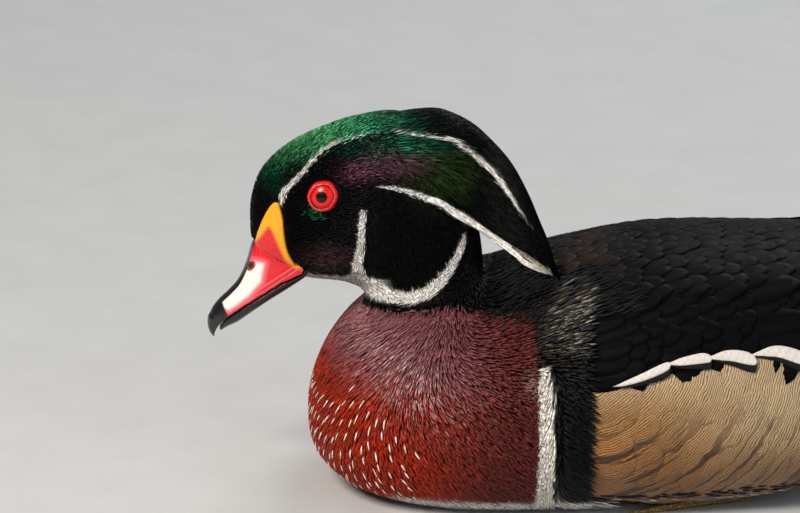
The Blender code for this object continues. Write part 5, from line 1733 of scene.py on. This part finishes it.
@dataclass
class Bill:
    """The bill: a red and yellow upper half with a white saddle and black nail, and a black lower one."""

    horn: HornFinish
    rings: int = 150
    around: int = 97

    @staticmethod
    def paint(points: Array) -> tuple[Array, Array, Array]:
        """Colours of the upper bill as functions of place.

        Args:
            points: Points, metres.

        Returns:
            The tint; millimetres out of the red part, over the yellow rim; and the nostril's radius share.
        """
        x, y, z = (points[..., k] / MM for k in range(3))
        red, yellow, pink = tone("#e21420"), tone("#ffae00"), tone("#ff7884")
        white, black = tone("#fdf4ec"), tone("#0e0c0d")
        tint = np.broadcast_to(red, (*x.shape, 4))
        saddle = inside(x, z, (
            (108.9, 84.0), (105.8, 83.6), (107.0, 77.0), (111.4, 71.8), (118.2, 66.6), (121.6, 67.4),
            (121.8, 70.2), (120.4, 72.2), (117.0, 75), (113.5, 79), (110.8, 82.3),
        ))
        tint = blend(tint, pink, 0.8 * ramp(saddle, 2.6, 0.5))
        tint = blend(tint, white, ramp(saddle, 0.9, -0.8))
        rim = inside(x, z, (
            (104.1, 98.2), (102.9, 96.4), (100.7, 90.9), (98.4, 85.6), (96.9, 83.6), (94.6, 81.8), (80.0, 80.0),
            (118.0, 40.0), (135.0, 60.0), (118.0, 90.0), (109.0, 90.4),
        ))
        tint = blend(tint, tone("#ff6a08"), ramp(rim, -0.7, 0.1))
        tint = blend(tint, yellow, ramp(rim, 0.1, 0.6))
        # Painted highlight: pink lines along the lip's rolled edge.
        for path in (
            ((94.0, 81.4, 0.14), (99.2, 78.1, 0.16), (105.7, 73.6, 0.16), (111.8, 69.6, 0.14), (117.6, 66.0, 0.1)),
            ((95.0, 82.6, 0.10), (99.8, 79.6, 0.12), (106.0, 75.2, 0.12), (111.0, 71.6, 0.10)),
        ):
            tint = blend(tint, pink, 0.75 * ramp(stroke(x, z, path), 0.25, -0.05))
        # Painted shade: darker round the nostril and near-black inside it, for its hollow.
        ahead, up = x - 110.2, z - 82.2
        nose = np.hypot((ahead * 0.59 - up * 0.81) / 2.0, (ahead * 0.81 + up * 0.59) / 1.05)
        tint = blend(tint, tone("#a04410"), ramp(nose, 1.25, 0.95))
        tint = blend(tint, tone("#3a1208"), ramp(nose, 0.75, 0.5))
        ridge = ramp(np.abs(y), 3.5, 3.1) * ramp(z, 90.5, 89.5)
        nail = ramp((x - 118.5) - 0.42 * (z - 64.0), -0.3, 0.3)
        return blend(tint, black, np.maximum(ridge, nail)), rim, nose

    def build(self) -> None:
        """Upper half with lobes, grown into one, and lower half."""
        shape = spline(UPPER_BILL, np.linspace(0, 9, self.rings))[:, None]
        row = np.linspace(0, 9, self.rings)[:, None]
        turn = np.linspace(-90, 90, self.around)[None]
        ridge, edge = shape[..., 0:2], shape[..., 2:4]
        rise = np.cos(np.radians(turn))[..., None] ** 0.85
        middle = edge + (ridge - edge) * rise
        across = shape[..., 4] * np.sign(turn) * np.abs(np.sin(np.radians(turn))) ** (2 / shape[..., 5])
        top = np.stack([middle[..., 0], across, middle[..., 1]], -1)
        lip = 0.0003 * np.exp(-(((np.abs(turn) - 80) / 4) ** 2)) * ramp(row, 0.5, 1.5) * ramp(row, 6.6, 6.0)
        top[..., 1] += np.sign(across) * lip
        top[..., 0] += 0.0004 * ramp(row, 6.2, 6.5) * ramp(row, 9.0, 7.5) * ramp(np.abs(turn), 80, 40)
        shares = np.linspace(1, -1, 12)[None, 1:-1]
        low = edge + 0.12 * (ridge - edge)
        under = np.stack([low[..., 0] + 0 * shares, shape[..., 4] * shares, low[..., 1] + 0 * shares], -1)
        points, faces = capped_tube(np.concatenate([top, under], 1))
        points, faces = self._grown([(points, outwards(points, faces)), *self._lobes()])
        tint, rim, nose = self.paint(points)
        raised = 0.35 * ramp(rim, -0.3, 0.6) * ramp(rim, 4.0, 2.0) - 1.0 * ramp(nose, 1.1, 0.5)
        raised = raised + 0.25 * np.exp(-(((nose - 1.3) / 0.25) ** 2))
        points[:, 1] += np.sign(points[:, 1]) * raised * MM * ramp(np.abs(points[:, 1]), 0.001, 0.003)
        make_piece("bill_upper_horn", points, faces, self.horn.build(), "red_horn", tint, replaces=("bill_upper",))
        self._lower()

    @staticmethod
    def _grown(shapes: list[tuple[Array, Array]]) -> tuple[Array, Array]:
        """One skin round several closed shapes, on a 0.28 mm grid, smoothed where they meet.

        Args:
            shapes: Points and faces of each.

        Returns:
            Points, and triangles.
        """
        mesh = bpy.data.meshes.new("growth")
        points, faces, start = [], [], 0
        for place, shape in shapes:
            points.append(place.reshape(-1, 3))
            faces += [tuple(face) for face in (shape + start).tolist()]
            start += len(points[-1])
        mesh.from_pydata(np.concatenate(points).tolist(), [], faces)
        item = bpy.data.objects.new("growth", mesh)
        bpy.context.scene.collection.objects.link(item)
        remesh = item.modifiers.new("skin", "REMESH")
        remesh.mode, remesh.voxel_size = "VOXEL", 0.00028
        soften = item.modifiers.new("soften", "SMOOTH")
        soften.factor, soften.iterations = 0.5, 14
        done = item.evaluated_get(bpy.context.evaluated_depsgraph_get()).to_mesh()
        place = np.empty(len(done.vertices) * 3, np.float32)
        done.vertices.foreach_get("co", place)
        done.calc_loop_triangles()
        corners = np.empty(len(done.loop_triangles) * 3, np.int32)
        done.loop_triangles.foreach_get("vertices", corners)
        bpy.data.objects.remove(item)
        bpy.data.meshes.remove(mesh)
        return place.reshape(-1, 3).astype(float), corners.reshape(-1, 3)

    @staticmethod
    def _lobes() -> list[tuple[Array, Array]]:
        """Skin plates up both sides of the forehead, swelling from rear to front edge."""
        step, share = np.linspace(0, 4, 70), np.linspace(0, 1, 40)[None, :, None]
        rear, front = spline(LOBE_REAR, step)[:, None], spline(LOBE_FRONT, step)[:, None]
        place = rear + share * (front - rear)
        row, angle = beside(place[..., 0], place[..., 1])
        proud = 0.0008 * np.sin(np.pi * (0.06 + 0.88 * share[..., 0])) ** 0.5 * ramp(step, -0.4, 1.0)[:, None]
        outer, inner = TRUNK.over(row, angle, proud), TRUNK.over(row, angle, -0.0012 + 0 * proud)
        plates = []
        for side in Side:
            points = np.stack([outer, inner]) * side.flip
            plates.append((points, outwards(points, sheet_faces(70, 40))))
        return plates

    def _lower(self) -> None:
        """A shallow black trough."""
        shape = spline(LOWER_BILL, np.linspace(0, 7, 80))[:, None]
        turn = np.radians(np.linspace(-90, 90, 41)[None])
        ridge, edge = shape[..., 0:2], shape[..., 2:4]
        middle = edge + (ridge - edge) * np.cos(turn)[..., None] ** 0.85
        top = np.stack([middle[..., 0], shape[..., 4] * np.sin(turn), middle[..., 1]], -1)
        shares = np.linspace(1, -1, 8)[None, 1:-1]
        under = np.stack([edge[..., 0] + 0 * shares, shape[..., 4] * shares, edge[..., 1] + 0 * shares], -1)
        points, faces = capped_tube(np.concatenate([top, under], 1))
        make_piece("bill_lower_horn", points, faces, self.horn.build(), "pale_horn",
                   np.broadcast_to(tone("#151214"), (len(points), 4)), replaces=("bill_lower",))


@dataclass
class Eye:
    """The eye and its ring of bare red skin; each pair of radii says where a colour comes in or fades."""

    side: Side
    ball: EyeFinish
    lids: DownFinish
    pupil_mm: tuple = (2.12, 1.98)
    glow_mm: tuple = (3.4, 2.4)
    rim_mm: tuple = (3.9, 4.2)

    def build(self) -> None:
        """Ball and lid ring, turned about the axis that the eye looks along."""
        row, angle = beside(np.array([EYE_X]), np.array([EYE_Z]))
        point, axis, _, _ = TRUNK.frame(row, angle)
        flip = self.side.flip
        axis = unit(axis[0]) * flip
        centre = point[0] * flip - EYE_SINK * axis
        across = unit(np.cross(axis, [0, 0, 1]))
        up = np.cross(across, axis)
        spin = np.radians(np.arange(96) * 3.75)[None, :, None]
        spoke = np.cos(spin) * across + np.sin(spin) * up
        tilt = np.radians(np.append(np.linspace(0.5, 80, 60), (120, 150, 172)))[:, None, None]
        radius = EYE_RADIUS * np.where(tilt > 1.6, 0.85, 1.0)
        rings = centre + radius * (np.cos(tilt) * axis + np.sin(tilt) * spoke)
        out = (radius * np.sin(tilt))[..., 0] / MM + 0 * spin[..., 0]
        front = tilt[..., 0] < 1.5
        fibre = 0.85 + 0.15 * np.sin(spin[..., 0] * 37) * np.sin(spin[..., 0] * 11 + 1) + 0 * out
        iris = blend(shaded(tone("#ee120c"), fibre), tone("#f83a20"), 0.3 * ramp(out, *self.glow_mm))
        tint = blend(iris, tone("#050304"), ramp(out, *self.pupil_mm) * front)
        tint = blend(tint, tone("#2a0606"), np.maximum(ramp(out, *self.rim_mm), 1.0 * ~front))
        make_piece(f"eyeball_{self.side.word}", *capped_tube(rings), self.ball.build(), "red_iris",
                   with_ends(tint), replaces=(f"eye_{self.side.word}",))
        self._lids(centre, axis, across, up)

    def _lids(self, centre: Array, axis: Array, across: Array, up: Array) -> None:
        """A fleshy ring: a small circle carried round the eye, fuller at its upper rear corner."""
        spin = np.radians(np.arange(120) * 3.0)[:, None]
        cross = np.radians(np.arange(20) * 18)[None]
        corner = 1 + 0.04 * np.cos(2 * (spin - 2.2)) + 0.02 * np.cos(6 * spin + 0.4)
        thick = 0.00072 + 0.00008 * np.sin(spin * 23) * np.sin(spin * 7)
        out = 0.00485 * corner + thick * np.cos(cross)
        base = np.sqrt(np.maximum(EYE_RADIUS**2 - out**2, 1e-8)) + 0.0002
        high = base + thick * np.sin(cross) * 0.9
        points = centre + high[..., None] * axis + out[..., None] * (
            np.cos(spin)[..., None] * across + np.sin(spin)[..., None] * up
        )
        count, around = points.shape[:2]
        step, turn = np.arange(count)[:, None], np.arange(around)[None]
        after, beyond = (step + 1) % count, (turn + 1) % around
        faces = np.stack([
            step * around + turn, step * around + beyond, after * around + beyond, after * around + turn
        ], -1).reshape(-1, 4)
        # Painted highlight: pinkish along the top of the ring's roll.
        tint = blend(tone("#e4141a"), tone("#f4484a"), 0.35 * ramp(np.sin(cross) + 0 * spin, 0.5, 1.0))
        tint = blend(tint, tone("#5a060a"), ramp(np.cos(cross) + 0 * spin, -0.4, -0.9))
        make_piece(f"lid_ring_{self.side.word}", points, faces, self.lids.build(), "red_horn", tint,
                   replaces=(f"eyelids_{self.side.word}",))


# ---- studio


@dataclass
class Studio:
    """Camera, pale floor and soft lights."""

    target: tuple = (0.05694, 0.0, 0.0830)
    azimuth: float = 4.0
    height: float = 18.0
    distance: float = 3.0

    def _aim(self, name: str, data: bpy.types.ID, place: Array) -> bpy.types.Object:
        """Puts a camera or lamp in its place, level and facing the target."""
        towards = unit(np.array(place) - np.array(self.target))
        right = unit(np.cross([0, 0, 1.0], towards))
        item = bpy.data.objects.new(name, data)
        columns = np.stack([right, np.cross(towards, right), towards, place], 1)
        item.matrix_world = Matrix([*columns.tolist(), (0, 0, 0, 1)])
        bpy.context.scene.collection.objects.link(item)
        return item

    def camera(self) -> None:
        """A long lens to the bird's left, a little ahead of square on and above."""
        turn, rise = np.radians(self.azimuth), np.radians(self.height)
        towards = np.array([np.sin(turn) * np.cos(rise), np.cos(turn) * np.cos(rise), np.sin(rise)])
        camera = bpy.data.cameras.new("camera")
        camera.lens, camera.sensor_width = 380.0, 36.0
        camera.clip_start, camera.clip_end = 0.05, 50.0
        bpy.context.scene.camera = self._aim("camera", camera, np.array(self.target) + self.distance * towards)

    def light(self, name: str, place: tuple, power: float, size: float, colour: str) -> None:
        """One square area light that faces the bird's middle."""
        lamp = bpy.data.lights.new(name, "AREA")
        lamp.energy, lamp.size, lamp.color = power, size, linear(colour)
        self._aim(name, lamp, place)

    def build(self) -> None:
        """A wide matt floor, three soft lights and a dim sky."""
        material, tree, shader = principled("matt painted board", Roughness=0.85)
        place = add_node(tree, "TexCoord")
        grain = add_node(tree, "TexNoise", {"Vector": place.outputs["Object"], "Scale": 40.0, "Detail": 3.0})
        shade = add_node(tree, "ValToRGB", {"Fac": grain})
        for stop, code in zip(shade.color_ramp.elements, ("#c9cbcc", "#d6d8d8")):
            stop.color = (*linear(code), 1)
        fill_sockets(tree, shader, {"Base Color": shade})
        mesh = bpy.data.meshes.new("floor")
        mesh.from_pydata([(-4, -4, 0), (4, -4, 0), (4, 4, 0), (-4, 4, 0)], [], [(0, 1, 2, 3)])
        mesh.materials.append(material)
        floor = bpy.data.objects.new("floor", mesh)
        bpy.context.scene.collection.objects.link(floor)
        self.light("key", (0.75, 0.85, 1.05), 22.0, 0.45, "#fff6ea")
        self.light("fill", (-0.9, 1.1, 0.7), 5.0, 1.2, "#eef3ff")
        self.light("back", (-0.5, -0.9, 1.0), 7.0, 0.8, "#ffffff")
        world = bpy.data.worlds.new("studio")
        bpy.context.scene.world = world
        world.use_nodes = True
        sky = world.node_tree.nodes["Background"].inputs
        sky[0].default_value, sky[1].default_value = (*linear("#b8c2cc"), 1), 0.25
        bpy.context.scene.view_settings.view_transform = "Standard"


def dress_legs() -> None:
    """Gives the legs and feet of the solids their scaly skin."""
    skin = SkinFinish("scaly yellow-grey leg skin", "#b98d2e", "#3a2c18", 1.1)
    for name in ("leg_left", "leg_right", "foot_left", "foot_right"):
        item = bpy.data.objects[name]
        item.data.materials.clear()
        item.data.materials.append(skin.build())


def main() -> None:
    """Builds the studio and every sub-assembly in order."""
    logging.basicConfig(level=logging.INFO, format="%(message)s")
    studio = Studio()
    studio.camera()
    studio.build()
    markings = Markings()
    down = DownFinish("satin contour feathers", specular=0.25)
    velvet = DownFinish("iridescent head feathers", roughness=0.38, grain_mm=0.7, specular=0.2)
    vane = VaneFinish("dark vaned feathers", roughness=0.55, specular=0.08, relief=0.35)
    plain = DownFinish("smooth white and black feathers", roughness=0.6, mottle=0.08)
    Skin(markings, down).build()
    HeadCoat(markings, velvet).build()
    CrestCoat(markings, velvet).build()
    Band(down).build()
    BreastCoat(markings, down).build()
    Mantle(vane).build()
    flank = FlankFinish()
    for side in Side:
        Wing(vane, side).build()
        Flank(side, flank, plain, down).build()
    Tail(vane).build()
    Bill(HornFinish("worn keratin horn")).build()
    ball = EyeFinish()
    lids = HornFinish("moist red lid skin", roughness=0.35, coat=0.5, grain_mm=0.8)
    for side in Side:
        Eye(side, ball, lids).build()
    dress_legs()


if __name__ == "__main__":
    main()
